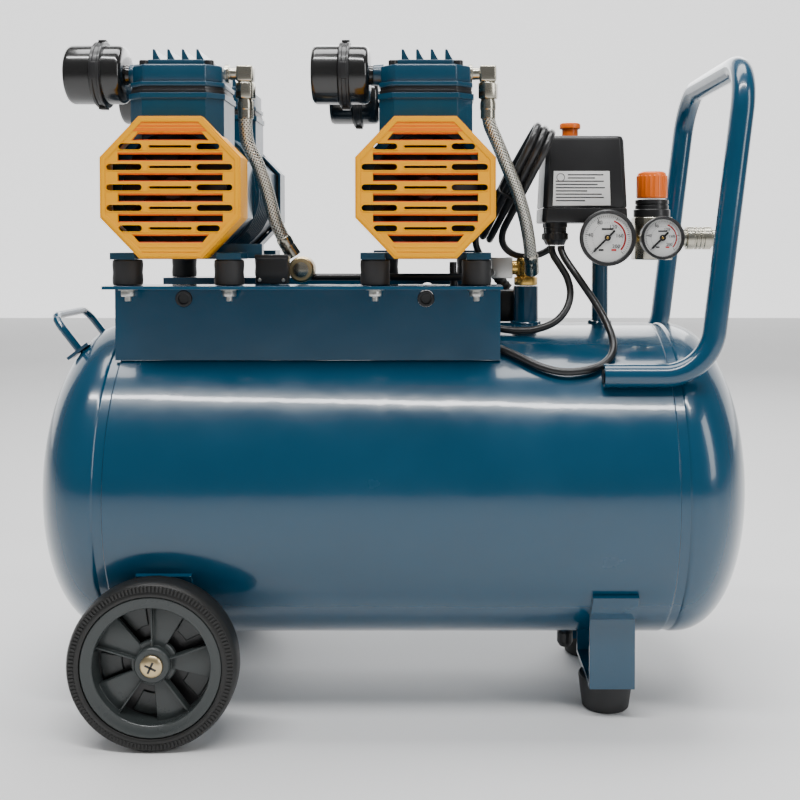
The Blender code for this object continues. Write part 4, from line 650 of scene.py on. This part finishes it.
def wheel(where, side):
    """Moulded rim with five blades, a tyre with a knurled band, and the axle bolt."""
    def turned(piece, profile, finish, sides, closed=False):
        piece.add(lathe([(side * y, r) for y, r in profile], "Y", WHEEL_CENTRE, sides, closed=closed),
                  finish)

    def blade(mid, r1, r2, half1, half2, near, far, ease, steps=2):
        outline = sector(WHEEL_CENTRE, r1, r2, mid, math.radians(half1), math.radians(half2))
        hub.add(plate(outline, [], side * near, side * far), GREY, ease, steps)

    hub = Piece(f"wheel_hub_{where}_looks")
    turned(hub, [(0.1415, .0505), (0.1415, .0600), (0.1424, .0609), (0.1655, .0609), (0.1666, .0600),
                 (0.1660, .0560), (0.1648, .0530), (0.1648, .0512), (0.1640, .0505)], GREY, 96, closed=True)
    turned(hub, [(0.1415, 0), (0.1415, .0140), (0.1425, .0155), (0.1605, .0155), (0.1620, .0142),
                 (0.1620, 0)], GREY, 64)
    windows = [math.radians(110 + 72 * i) for i in range(5)]
    blades = [math.radians(110 + 36 + 72 * i) for i in range(5)]
    for mid in blades:
        blade(mid, 0.0148, 0.0512, 20, 17, 0.149, 0.155, 0.0014)
        blade(mid + math.radians(17), 0.0148, 0.0508, 2.2, 0.8, 0.150, 0.1595, 0.0009)
    for mid in windows:
        blade(mid, 0.0148, 0.0200, 22, 18, 0.149, 0.155, 0.0010, 1)
    # A black disc behind the blades: painted shade seen through the openings between them.
    turned(hub, [(0.1420, 0.0150), (0.1420, 0.0506), (0.1434, 0.0506), (0.1434, 0.0150)], BLACK, 64,
           closed=True)
    for mid in windows:
        blade(mid + 0.09, 0.0300, 0.0490, 12, 14, 0.1430, 0.1452, 0.0006, 1)
    hub.done(f"{where}_wheel", "grey_plastic", f"wheel_hub_{where}")
    tyre = Piece(f"tyre_{where}_looks")
    turned(tyre, [(0.1405, .0612), (0.1402, .0640), (0.1412, .0700), (0.1435, .0724), (0.1480, .0734),
                  (0.1540, .0735), (0.1600, .0734), (0.1645, .0724), (0.1668, .0708), (0.1672, .0655),
                  (0.1680, .0640), (0.1680, .0625), (0.1672, .0612)], TYRE, 120, closed=True)
    for i in range(132):
        outline = sector(WHEEL_CENTRE, 0.0657, 0.0702, 2 * math.pi * i / 132, 0.013, 0.013, 1)
        tyre.add(plate(outline, [], side * 0.1655, side * 0.1680), TYRE)
    tyre.done(f"{where}_wheel", "tyre_rubber", f"tyre_{where}")
    bolt = Piece(f"axle_bolt_{where}_looks")
    turned(bolt, [(0.0955, 0), (0.0955, 0.005), (0.1100, 0.005), (0.1622, 0.005), (0.1622, 0.0098),
                  (0.1640, 0.0096), (0.1655, 0.0080), (0.1664, 0.0050), (0.1667, 0)], GOLD, 48)
    for turn in (0.45, 0.45 + math.pi / 2):
        mark = plate(rect(-0.0052, -0.0009, 0.0052, 0.0009), [], side * 0.1660, side * 0.16685)
        bolt.add(moved(mark, Matrix.Translation(WHEEL_CENTRE) @ Matrix.Rotation(turn, 4, "Y")), BLACK)
    bolt.add(hexagon("Y", WHEEL_CENTRE, 0.0066, *sorted((side * 0.1000, side * 0.1072))), ZINC)
    bolt.done(ROOT, "zinc", f"axle_bolt_{where}")



def foot(where, side):
    """Rubber foot with its nut and stud, and the weld of its bracket."""
    made = Piece(f"foot_{where}_looks")
    at = (0.198, side * 0.068, 0)
    made.add(lathe([(0.0, 0.0205), (0.0012, 0.0218), (0.004, 0.0222), (0.026, 0.0251), (0.0292, 0.0254),
                    (0.0307, 0.0244)],
                   "Z", at, 64), RUBBER)
    made.add(hexagon("Z", at, 0.0058, 0.0353, 0.0403), ZINC)
    made.add(lathe([(0.030, 0.003), (0.0425, 0.003), (0.0430, 0.0024)], "Z", at, 18), ZINC)
    made.done(ROOT, "rubber", f"foot_{where}")
    bead = Piece(f"foot_weld_{where}")
    weld(bead, [(0.178 + 0.004 * i, side * 0.1088, 0.1005) for i in range(11)], 0.0017, side * 5,
         closed=False)
    bead.done(ROOT, "teal_paint")


# ---------------------------------------------------------------- pumps
def octagon(centre, half, cut):
    """Corners of a cover's outline, clockwise from the top left. It is a little taller than wide."""
    z, height, cut_z = SHAFT_Z, half + 0.0007, cut + 0.0015
    return [(centre - half + cut, z + height), (centre + half - cut, z + height),
            (centre + half, z + height - cut_z), (centre + half, z - height + cut_z),
            (centre + half - cut, z - height), (centre - half + cut, z - height),
            (centre - half, z - height + cut_z), (centre - half, z + height - cut_z)]



def slot_outline(x1, x2, z, half, steps=5):
    """A slot with round ends."""
    out = []
    for x, start in ((x2 - half, -90), (x1 + half, 90)):
        angles = [math.radians(start + 180 * i / steps) for i in range(steps + 1)]
        out += [(x + half * math.cos(a), z + half * math.sin(a)) for a in angles]
    return out



def cover_openings(centre):
    """The six gaps between the cover's bars, and the small slots along each bar."""
    gaps, slots = [], []
    for k in range(-3, 3):
        low = SHAFT_Z + k * PITCH + BAR / 2
        high = low + PITCH - BAR
        half = 0.0335 if k in (-3, 2) else 0.0455
        bottom, top = half - (0.006 if k == -3 else 0), half - (0.006 if k == 2 else 0)
        gaps.append([(centre - bottom, low), (centre + bottom, low), (centre + top, high),
                     (centre - top, high)])
    for k in range(-2, 3):
        z, end = SHAFT_Z + k * PITCH, abs(k) == 2
        slots.append(slot_outline(centre + (-0.045 if end else -0.0555), centre - 0.0245, z, 0.0027))
        slots.append(slot_outline(centre + 0.0225, centre + (0.043 if end else 0.0540), z, 0.0027))
        slots.append(slot_outline(centre - 0.0185, centre + 0.0185, z, 0.0011))
    return gaps, slots


def cover(pump, centre, where, side, skin, slot):
    """Louvred fan cover: octagonal rim, five slotted bars and a notch round the barrel. At the front,
    darker orange paints the shade in its recesses; a dark red liner and a black sheet paint the shade
    inside it.
    """
    made = Piece(f"{pump}_cover_{where}_looks")
    # At the front, darker orange finishes paint the shade in the louvres and recesses; at the rear they are
    # the plain skin.
    shade_finish, louvre_shade_finish = (ORANGE_PAINTED_SHADE, LOUVRE_PAINTED_SHADE) if side < 0 else (skin, skin)

    def layer(outline, holes, near, far, finish, ease=0.0):
        made.add(plate(outline, holes, side * near, side * far), finish, ease, 1)

    outer, wall = octagon(centre, .061, .034), octagon(centre, .0588, .0331)
    gaps, slots = cover_openings(centre)
    layer(outer, gaps + slots, 0.1365, 0.1393, skin)
    layer(octagon(centre, .0594, .0333), [octagon(centre, .0562, .0318)], 0.1389, 0.1400, skin)
    for gap in gaps:                                  # louvres behind each bar, deeper orange at the front as painted shade
        z_low, z_high = gap[0][1], gap[2][1]
        x1, x2 = min(p[0] for p in gap), max(p[0] for p in gap)
        y1, y2 = sorted((side * 0.1285, side * 0.1370))
        for z in (z_low, z_high):
            made.add(box((x1 - 0.001, y1, z - 0.0009), (x2 + 0.001, y2, z + 0.0009)), louvre_shade_finish)
        # A sloped strip under each bar, darker orange at the front: painted shade on the bar's underside.
        under = [(side * 0.1395, z_high + 0.0016), (side * 0.1362, z_high - 0.0013),
                 (side * 0.1300, z_high - 0.0013), (side * 0.1300, z_high + 0.0016)]
        made.add(plate(under, [], x1, x2, "YZ"), shade_finish)
    # Three bands below the top lip, darker orange at the front: painted shade in the sloping recess there.
    steps = ((.0484, .0515, .0330, .0302), (.0519, .0545, .0298, .0274), (.0549, .0566, .0272, .0258))
    for i, (low, high, wide, narrow) in enumerate(steps):
        band = [(centre - wide, SHAFT_Z + low), (centre + wide, SHAFT_Z + low),
                (centre + narrow, SHAFT_Z + high), (centre - narrow, SHAFT_Z + high)]
        layer(band, [], 0.1385, 0.1396 - 0.0001 * i, shade_finish, 0.0003)
    for low in (-.0560, -.0522):
        rib = [(centre - .0270, SHAFT_Z + low), (centre + .0270, SHAFT_Z + low),
               (centre + .0275, SHAFT_Z + low + .0016), (centre - .0275, SHAFT_Z + low + .0016)]
        layer(rib, [], 0.1390, 0.1397, skin, 0.0003)
    for hole in slots:                                # a raised rim round each slot
        mid_x, mid_z = sum(p[0] for p in hole) / len(hole), sum(p[1] for p in hole) / len(hole)
        wide = [(x + math.copysign(0.0007, x - mid_x), z + math.copysign(0.0007, z - mid_z)) for x,
                z in hole]
        layer(wide, [hole], 0.1390, 0.1398, skin)
    layer(outer, [wall], 0.1255, 0.1366, skin)
    # A dark red liner inside the wall and a black sheet behind the fan: painted shade inside the cover.
    layer(octagon(centre, .0587, .0331), [octagon(centre, .0577, .0327)], 0.1262, 0.1364, FAN)
    layer(octagon(centre, .0580, .0328), [], 0.1090, 0.1105, BLACK)
    z_cut = SHAFT_Z + 0.0455
    rear = [(centre + 0.0425, z_cut), *outer[2:8], (centre - 0.0425, z_cut)]
    back = [(centre - 0.0425, z_cut - 0.0025), *wall[7:1:-1], (centre + 0.0425, z_cut - 0.0025)]
    layer(rear + back, [], 0.104, 0.1256, skin)
    made.done(ROOT, slot, f"{pump}_cover_{where}", sharp=25)



def chamfered(x, y, half_x, half_y, cut):
    """A rectangle's outline with its corners cut off."""
    return [(x - half_x + cut, y + half_y), (x + half_x - cut, y + half_y), (x + half_x, y + half_y - cut),
            (x + half_x, y - half_y + cut),
            (x + half_x - cut, y - half_y), (x - half_x + cut, y - half_y), (x - half_x, y - half_y + cut),
            (x - half_x, y + half_y - cut)]


def head(pump, centre, where, side):
    """Cylinder head: gasket plates, cast body, four curved fins and its screws."""
    made = Piece(f"{pump}_head_{where}_looks")
    y = side * BARREL_Y
    for half_x, half_y, cut, low, high, finish, ease, steps in (
            (.0412, .0382, .0135, 0.5673, 0.5702, BLACK, 0.0004, 1),
                                                                (.0404, .0374, .0132, 0.5702, 0.5730, BLACK,
                                                                 0.0004, 1),
            (.0417, .0387, .0135, 0.5730, 0.5772, CAST, 0.0008, 2),
                                                                (.0399, .0369, .0130, 0.5770, 0.5923, CAST,
                                                                 0.0016, 3),
            (.0310, .0290, .0070, 0.5918, 0.5975, CAST, 0.0012, 2)):
        made.add(plate(chamfered(centre, y, half_x, half_y, cut), [], low, high, "XY"), finish, ease, steps)
    for i in range(4):
        x = centre + (i - 1.5) * 0.0129 - 0.001
        fin = [(x - 0.0012, 0.5972), (x + 0.0062, 0.5972), (x + 0.0044, 0.5998), (x + 0.0026, 0.6030),
               (x + 0.0012, 0.6062),
               (x + 0.0002, 0.6072), (x - 0.0012, 0.6068)]
        made.add(plate(fin, [], y - 0.026, y + 0.026), CAST, 0.0004, 1)
    made.add(plate(rect(centre - 0.026, 0.5972, centre + 0.028, 0.5990), [], y - 0.004, y + 0.004), CAST)
    for dx in (-0.029, 0.029):
        for dy in (-0.0265, 0.0265):
            at = (centre + dx, y + dy, 0)
            made.add(lathe([(0.5915, .0042), (0.5962, .0042), (0.5968, .0036), (0.5968, .0021),
                            (0.5945, .0019), (0.5945, 0)], "Z", at, 20), BLACK)
    made.add(lathe([(-0.0478, 0.0093), (-0.0385, 0.0100)], "X", (centre, y, FILTER_Z), 32), CAST)
    if side < 0:
        z = 0.589
        made.add(lathe([(0.0385, 0.0085), (0.0420, 0.0085), (0.0424, 0.0058), (0.0500, 0.0055)], "X",
                       (centre, y, z), 28), NICKEL)
        x = centre + 0.0565
        made.add(box((x - .0078, y - .0075, z - .0078), (x + .0075, y + .0075, z + .0072)), NICKEL, 0.002,
                 3)
        made.add(lathe([(z - 0.012, 0.0068), (z - 0.0075, 0.0068)], "Z", (x, y, 0), 28), NICKEL)
        made.add(hexagon("Z", (x, y, 0), 0.0079, 0.5660, 0.5808, 0.2), NICKEL)
    made.done(ROOT, "teal_paint", f"{pump}_head_{where}")


def air_filter(pump, centre, where, side):
    """Intake filter canister with a clamp band and its ears."""
    made = Piece(f"{pump}_filter_{where}_looks")
    at = (centre, side * BARREL_Y, FILTER_Z)
    made.add(lathe([(-.1028, 0), (-.1028, .0236), (-.1018, .0252), (-.1000, .0262), (-.0985, .0265),
                    (-.0790, .0265), (-.0782, .0258),
                    (-.0775, .0265), (-.0680, .0265), (-.0560, .0263), (-.0535, .0256), (-.0518, .0238),
                    (-.0512, .0215), (-.0512, .0092),
                    (-.0478, .0085), (-.0478, 0)], "X", at, 72), SATIN)
    band = [(-.0780, .0262), (-.0780, .0290), (-.0773, .0297), (-.0752, .0297), (-.0747, .0289),
            (-.0712, .0289), (-.0706, .0299), (-.0690, .0299),
            (-.0685, .0292), (-.0685, .0262)]
    made.add(lathe(band, "X", at, 72, closed=True), BLACK)
    for turn in (0.0, math.pi):
        ear = box((-.0765, -0.0045, 0.0285), (-.0690, 0.0045, 0.0315))
        spun = moved(ear, Matrix.Translation(at) @ Matrix.Rotation(turn, 4, "X"))
        made.add(spun, BLACK, 0.0008, 2)
    clip = box((-.0762, -0.0302, -0.0075), (-.0705, -0.0280, 0.0075))
    made.add(moved(clip, Matrix.Translation(at)), BLACK, 0.0006, 2)
    made.done(ROOT, "black_plastic", f"{pump}_filter_{where}")


def motor_trim(pump, centre):
    """Cooling fins round the motor, and the nuts under the heads."""
    made = Piece(f"{pump}_motor_fins")
    for i in range(9):
        y = -0.0405 + i * 0.0101
        ring = [(y - 0.0011, .0583), (y - 0.0009, .0612), (y - 0.0004, .0618), (y + 0.0004, .0618),
                (y + 0.0009, .0612), (y + 0.0011, .0583)]
        made.add(lathe(ring, "Y", (centre, 0, SHAFT_Z), 72, closed=True), CAST)
    made.done(ROOT, "teal_paint")
    made = Piece(f"{pump}_flange_trim")
    for side in (-1, 1):
        y = side * BARREL_Y
        for dx in (-0.031, 0.031):
            for dy in (-0.0285, 0.0285):
                made.add(hexagon("Z", (centre + dx, y + dy, 0), 0.0034, 0.5585, 0.5622), BLACK)
    made.done(ROOT, "black_plastic")


def terminal_box():
    """Black terminal box of the left motor, its lid and two screws."""
    made = Piece("terminal_box_looks")
    made.add(box((-.1256, -.0936, .3976), (-.0964, -.0744, .4230)), BLACK, 0.0014, 2)
    made.add(box((-.1262, -.0942, .4196), (-.0958, -.0738, .4241)), BLACK, 0.0010, 2)
    for x in (-.1218, -.1002):
        made.add(lathe([(-.0944, 0), (-.0944, .0014), (-.0936, .0017), (-.0930, .0017)], "Y", (x, 0, .4010),
                       16), ZINC)
    made.done(ROOT, "black_plastic")


def mount(pump, centre, where, side, end, dx):
    """Rubber buffer under a pump, with its stud."""
    made = Piece(f"{pump}_mount_{where}_{end}_looks")
    at = (centre + dx, side * MOUNT_Y, 0)
    made.add(lathe([(0.3973, .0122), (0.3981, .0131), (0.4020, .0134), (0.4087, .0129), (0.4155, .0134),
                    (0.4192, .0131), (0.4200, .0120)],
                   "Z", at, 44), RUBBER)
    made.add(lathe([(0.3975, .0030), (0.3905, .0030)], "Z", at, 16), ZINC)
    made.done(ROOT, "rubber", f"{pump}_mount_{where}_{end}")


HOSES = {
    "hose_1": (-0.1915, [(.0565, -.0860, .5510), (.0562, -.0857, .5410), (.0580, -.0825, .5250),
                         (.0665, -.0770, .5055), (.0738, -.0730, .4835),
                         (.0810, -.0690, .4548), (.0895, -.0630, .4350), (.0968, -.0600, .4226)]),
    "hose_2": (0.0295, [(.0565, -.0860, .5510), (.0587, -.0850, .5415), (.0640, -.0820, .5300),
                        (.0745, -.0750, .5060), (.0838, -.0660, .4860),
                        (.0923, -.0550, .4609), (.0975, -.0440, .4390), (.1010, -.0310, .4190),
                        (.1028, -.0197, .4065)]),
}


def hose(name, centre, route):
    """Steel-braided hose with a crimped ferrule at each end."""
    points = smooth_route([(centre + x, y, z) for x, y, z in route], 10)
    made = Piece(f"{name}_looks")
    made.add(tube(points, 0.0061, 28, wrap=3.0), BRAID)
    top = Vector((centre + 0.0565, -0.086, 0))
    made.add(lathe([(0.5480, .0063), (0.5484, .0069), (0.5560, .0069), (0.5566, .0073), (0.5625, .0073),
                    (0.5662, .0062)], "Z", top, 32), NICKEL)
    end = points[-14:]
    made.add(tube(end, [0.0064] + [0.0071] * 4 + [0.0067] + [0.0071] * 8, 32), NICKEL)
    made.done(ROOT, "steel_braid", name)


LEADS = {
    "motor_lead_1": [(.1600, -.0260, .4318), (.1603, -.0264, .4275), (.1630, -.0298, .4205),
                     (.1680, -.0350, .4120), (.1763, -.0430, .3990),
                     (.1892, -.0530, .3783), (.1985, -.0640, .3600), (.2025, -.0775, .3437),
                     (.1990, -.0900, .3325), (.1890, -.0990, .3245),
                     (.1720, -.1050, .3200), (.1520, -.1060, .3190), (.1320, -.1000, .3235),
                     (.1130, -.0890, .3315), (.0950, -.0790, .3380),
                     (.0700, -.0720, .3420), (.0300, -.0690, .3440), (-.0200, -.0670, .3450),
                     (-.0650, -.0640, .3480), (-.0880, -.0660, .3560),
                     (-.1030, -.0730, .3680), (-.1100, -.0785, .3850), (-.1110, -.0795, .3980)],
    "motor_lead_2": [(.1515, -.0200, .4318), (.1517, -.0203, .4275), (.1540, -.0218, .4210),
                     (.1590, -.0250, .4130), (.1655, -.0300, .4010),
                     (.1680, -.0360, .3860), (.1630, -.0430, .3710), (.1510, -.0480, .3590),
                     (.1326, -.0510, .3525), (.1136, -.0500, .3515),
                     (.0950, -.0470, .3540), (.0780, -.0440, .3600), (.0640, -.0420, .3720),
                     (.0570, -.0410, .3880), (.0550, -.0400, .4060),
                     (.0550, -.0400, .4165)],
}


def manifold():
    """Check valve, plain block, cross pipe under the rail and the hose union at its far end."""
    made = Piece("air_manifold_looks")
    made.add(hexagon("Z", (VALVE_X, 0, 0), 0.0102, 0.3925, 0.4010), BRASS)
    made.add(lathe([(.4008, .0088), (.4030, .0104), (.4130, .0110), (.4165, .0104), (.4195, .0080),
                    (.4195, 0)], "Z", (VALVE_X, 0, 0), 40), BRASS)
    made.add(box((.0934, -.0104, .3996), (.1142, .0104, .4204)), ALUMINIUM, 0.0012, 2)
    made.add(lathe([(.1138, .0070), (.1200, .0070)], "X", (0, 0, .410), 28), BRASS)
    made.add(tube(bent([(-.087, -.055, .4025), (.068, -.055, .4025), (.096, -.004, .406)], .015), .0035,
                  20), BLACK)
    made.add(lathe([(-.071, .0104), (-.0700, .0118), (-.0660, .0122), (-.0530, .0122), (-.0510, .0114),
                    (-.0490, .0095), (-.0490, 0)], "Y",
                   (-.087, 0, .410), 44), GOLD)
    made.add(lathe([(-.0716, 0), (-.0716, .0060), (-.0709, .0072), (-.0700, .0104)], "Y", (-.087, 0, .410),
                   44), NICKEL)
    made.done(ROOT, "brass", "air_manifold")


def lead(name, route):
    """A motor lead that follows the CAD's route."""
    made = Piece(f"{name}_looks")
    made.add(tube(smooth_route(route, 8), 0.0035, 20), CABLE)
    made.done(ROOT, "cable_rubber", name)


# ---------------------------------------------------------------- switch, gauges, regulator
def switch_box():
    """Tapered cover on a base, label with plain lines, knob well, two glands, post block and the knob."""
    made = Piece("switch_box_looks")
    def ring(half, low, high, cut=0.004):
        left, right = SWITCH_X - half, SWITCH_X + half
        return [(left + cut, low), (right - cut, low), (right, low + cut), (right, high - cut),
                (right - cut, high), (left + cut, high), (left, high - cut), (left, low + cut)]

    def loft(levels, finish):
        verts, faces = [], []
        for half, z, low, high in levels:
            verts += [(x, y, z) for x, y in ring(half, low, high)]
        count = len(levels)
        for k in range(count - 1):
            for i in range(8):
                j = (i + 1) % 8
                faces.append([k * 8 + i, k * 8 + j, k * 8 + 8 + j, k * 8 + 8 + i])
        faces += [list(range(8)), list(range((count - 1) * 8, count * 8))]
        made.add(eased((verts, faces, None), 0.0010, 2), finish)

    loft([(.0404, .4540, -.0372, .0312), (.0412, .4552, -.0380, .0320), (.0406, .4680, -.0380, .0320)],
         BLACK)
    loft([(.0398, .4679, -.0374, .0314), (.0398, .4691, -.0374, .0314)], SATIN)
    loft([(.0405, .4690, -.0380, .0320), (.0372, .5330, -.0365, .0305), (.0355, .5376, -.0350, .0290)],
         BLACK)
    front, slope = -0.0380, 0.0015 / 0.064
    tilt = about((0, front, 0.469), -math.atan(slope), "X")
    label = plate([(.1505, .4705), (.2060, .4705), (.2050, .5035), (.1515, .5035)], [], front - 0.0004,
                  front + 0.0002)
    made.add(moved(label, tilt), WHITE)
    for i, width in enumerate((0.034, 0.026, 0.046, 0.040, 0.047, 0.030, 0.044, 0.046, 0.028)):
        z, start = 0.4995 - i * 0.0031, 0.1650 if i < 2 else 0.1535
        made.add(moved(plate(rect(start, z, start + width, z + 0.0011), [], front - 0.0006, front), tilt),
                 BLACK)
    badge = lathe([(front - 0.0006, 0.0040), (front - 0.0006, 0.0034), (front, 0.0034), (front, 0.0040)],
                  "Y", (0.1582, 0, 0.4975), 24, closed=True)
    made.add(moved(badge, tilt), BLACK)
    made.add(lathe([(0.5365, .0135), (0.5380, .0125), (0.5392, .0108), (0.5392, .0090), (0.5372, .0088)],
                   "Z", (.1718, .002, 0), 40), BLACK)
    for x, y in ((.1555, -.022), (.1575, .018)):
        made.add(lathe([(.4548, .0110), (.4500, .0110), (.4496, .0102), (.4445, .0102), (.4441, .0112),
                        (.4380, .0112), (.4365, .0100),
                        (.4325, .0082), (.4325, .0042)], "Z", (x, y, 0), 40), BLACK)
        for i in range(14):
            rib = box((x + .0106, y - .0008, .4378), (x + .0118, y + .0008, .4438))
            made.add(moved(rib, about((x, y, 0), 2 * math.pi * i / 14, "Z")), BLACK)
    made.add(box((POST_X - .0125, -.0125, .4238), (POST_X + .0125, .0125, .4545)), ALUMINIUM, 0.0012, 2)
    made.add(lathe([(0.214, .0075), (0.2330, .0075)], "X", (0, 0, GAUGE_Z), 32), NICKEL)
    made.add(lathe([(-0.0455, .0060), (-0.012, .0060)], "Y", (.199, 0, GAUGE_Z), 28), BRASS)
    made.done(ROOT, "black_plastic", "switch_box")
    knob = Piece("switch_knob_looks")
    at = (.1718, .002, 0)
    knob.add(lathe([(.5340, 0), (.5340, .0080), (.5470, .0080), (.5474, .0098), (.5480, .0104),
                    (.5512, .0104), (.5528, .0098), (.5534, .0080), (.5536, 0)],
                   "Z", at, 56), ORANGE)
    knob.done("switch_knob_body", "orange_plastic", "switch_knob")


def number(text, size, place, finish, piece):
    """Raised numeral facing -Y, made from a font outline."""
    data = bpy.data.curves.new("numeral", "FONT")
    data.body, data.size, data.align_x, data.align_y, data.extrude = text, size, "CENTER", "CENTER", 0.0001
    data.resolution_u = 2
    holder = bpy.data.objects.new("numeral", data)
    mesh = bpy.data.meshes.new_from_object(holder)
    turn = Matrix.Translation(place) @ Matrix.Rotation(math.radians(90), 4, "X")
    piece.add(([turn @ v.co for v in mesh.vertices], [list(p.vertices) for p in mesh.polygons], None),
              finish)
    bpy.data.objects.remove(holder)
    bpy.data.curves.remove(data)
    bpy.data.meshes.remove(mesh)


def gauge(name, x, radius, face, step):
    """Black case with a rounded lip, white dial with ticks, numerals and a red arc, and a clear window."""
    z, back = GAUGE_Z, face + 0.024
    window = 0.86 * radius
    dial = face + 0.0038
    made = Piece(f"{name}_looks")
    at = (x, 0, z)
    made.add(lathe([(back, 0), (back, radius * .80), (back - .002, radius * .90),
                    (face + .007, radius * .93), (face + .0055, radius * .985),
                    (face + .002, radius), (face + .0005, radius * .99), (face, radius * .955),
                    (face + .0004, window * 1.02), (face + .0012, window),
                    (dial, window), (dial, 0)], "Y", at, 96), BLACK)
    made.add(lathe([(dial - .0004, 0), (dial - .0004, window * 0.995), (dial + .0002, window * 0.995),
                    (dial + .0002, 0)], "Y", at, 72), WHITE)
    y = dial - .0005

    def mark(angle, r1, r2, width, finish):
        a = math.radians(angle)
        out, wide = Vector((math.sin(a), 0, math.cos(a))), Vector((math.cos(a), 0,
                                                                   -math.sin(a))) * width / 2
        p = [Vector((x, y, z)) + out * r for r in (r1, r2)]
        verts = [p[0] - wide, p[0] + wide, p[1] + wide, p[1] - wide]
        verts += [v + Vector((0, 0.0003, 0)) for v in verts]
        made.add((verts, [[0, 1, 2, 3], [4, 5, 6, 7], [0, 1, 5, 4], [1, 2, 6, 5], [2, 3, 7, 6],
                          [3, 0, 4, 7]], None), finish)

    for i in range(51):
        angle = -135 + 270 * i / 50
        long = i % 10 == 0
        mark(angle, window * (0.80 if long else 0.85), window * 0.92, 0.00055 if long else 0.00028, BLACK)
    for i in range(41):
        mark(-135 + 270 * i / 40, window * 0.60, window * 0.635, 0.00025, BLACK)
    for i in range(24):
        mark(24 + 105 * i / 23, window * 0.70, window * 0.77, window * 0.08, RED)
    for i in range(6):
        a = math.radians(-135 + 270 * i / 5)
        reach = window * (0.70 if i < 3 else 0.50)
        place = Vector((x + reach * math.sin(a), y - .0001, z + reach * math.cos(a)))
        number(str(i * step), radius * 0.19, place, BLACK, made)
    for dx, dz, finish in ((-.26, -.5, BLACK), (.26, -.5, RED), (0, .36, BLACK)):
        w, h = window * (0.10 if dz < 0 else 0.24), window * 0.04
        cx, cz = x + window * dx, z + window * dz
        made.add(plate(rect(cx - w, cz - h, cx + w, cz + h), [], y, y + .0003), finish)
    made.add(lathe([(y - .0016, 0.0006), (y - .0012, .0012), (y, .0012)], "Y", at, 20), BRASS)
    made.done(ROOT, "black_plastic", name)
    glass = Piece(f"{name}_window")
    glass.add(lathe([(face + .0007, 0), (face + .0009, window * .6), (face + .0013, window * .99),
                     (face + .0017, window * .99), (face + .0014, window * .6),
                     (face + .0012, 0)], "Y", at, 72), LENS)
    glass.done(ROOT, "dial_white")


def regulator():
    """Regulator body with its lock ring, gauge stub and quick coupler, the ribbed knob and the sleeve."""
    made = Piece("regulator_looks")
    x = REGULATOR_X
    made.add(plate(chamfered(x, 0, .0185, .0185, .0077), [], 0.418, 0.4600, "XY"), NICKEL, 0.0012, 3)
    made.add(lathe([(.4598, .0172), (.4606, .0180), (.4672, .0180), (.4680, .0170)], "Z", (x, 0, 0), 48),
             BLACK)
    made.add(lathe([(.4678, .0150), (.4682, .0165), (.4715, .0165), (.4718, .0156), (.4728, .0156),
                    (.4731, .0165), (.4768, .0165), (.4775, .0152),
                    (.4775, 0)], "Z", (x, 0, 0), 56), BLACK)
    made.add(lathe([(-0.0370, .0058), (-0.016, .0058)], "Y", (.2522, 0, GAUGE_Z), 28), BRASS)
    at = (0, 0, GAUGE_Z)
    made.add(lathe([(.2705, .0120), (.2722, .0120), (.2730, .0105), (.2815, .0105), (.2818, .0085),
                    (.3165, .0085), (.3175, .0077), (.3175, .0049),
                    (.2990, .0048), (.2990, 0)], "X", at, 48), NICKEL)
    made.done(ROOT, "nickel", "regulator_body")
    knob = Piece("regulator_knob_looks")
    knob.add(lathe([(.4787, 0), (.4787, .0146), (.4793, .0150), (.5000, .0145), (.5035, .0136),
                    (.5050, .0116), (.5052, 0)], "Z", (x, 0, 0), 64), ORANGE)
    for i in range(20):
        rib = eased(box((x + .0138, -.0011, .4800), (x + .0152, .0011, .5010)), 0.0005, 1)
        knob.add(moved(rib, about((x, 0, 0), 2 * math.pi * i / 20, "Z")), ORANGE)
    knob.done("regulator_knob_body", "orange_plastic", "regulator_knob")
    sleeve = Piece("coupler_sleeve_looks")
    band = [(.2865, .0088), (.2865, .0108), (.2872, .0115)]
    for start in (.2935, .2975, .3015):               # three grip grooves
        band += [(start, .0115), (start + .0005, .0108), (start + .0020, .0108), (start + .0025, .0115)]
    band += [(.3105, .0115), (.3115, .0106), (.3115, .0088)]
    sleeve.add(lathe(band, "X", at, 56, closed=True), NICKEL)
    sleeve.done("coupler_sleeve_body", "nickel", "coupler_sleeve")


def dress(finish, *names):
    """A carried-over CAD piece gets its finish."""
    for name in names:
        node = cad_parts[name]
        node.data.materials.clear()
        node.data.materials.append(finish)


def carried_over():
    """CAD pieces whose shape is right keep it and take a finish."""
    dress(PAINT, "rail_front", "rail_rear", "lift_handle", "wheel_bracket", "foot_bracket_front",
          "foot_bracket_rear")
    dress(CAST, "pump_1_body", "pump_2_body")
    dress(FAN, "pump_1_rotor", "pump_2_rotor")
    dress(BLACK, "needle_tank", "needle_line", "drain_knob")


studio()
mains_cord()
tank()
handles()
platform_bolts()
grommets()
for where, side in SIDES.items():
    wheel(where, side)
    foot(where, side)
for pump, centre in PUMPS.items():
    motor_trim(pump, centre)
    for where, side in SIDES.items():
        cover(pump, centre, where, side, *((YELLOW, "yellow_plastic") if side < 0 else (CAST,
                                                                                        "teal_paint")))
        head(pump, centre, where, side)
        air_filter(pump, centre, where, side)
        for end, dx in (("left", -MOUNT_X), ("right", MOUNT_X)):
            mount(pump, centre, where, side, end, dx)
for name, (centre, route) in HOSES.items():
    hose(name, centre, route)
for name, route in LEADS.items():
    lead(name, route)
terminal_box()
manifold()
switch_box()
gauge("gauge_tank", 0.199, 0.0265, -0.068, 40)
gauge("gauge_line", 0.2522, 0.0205, -0.060, 40)
regulator()
carried_over()
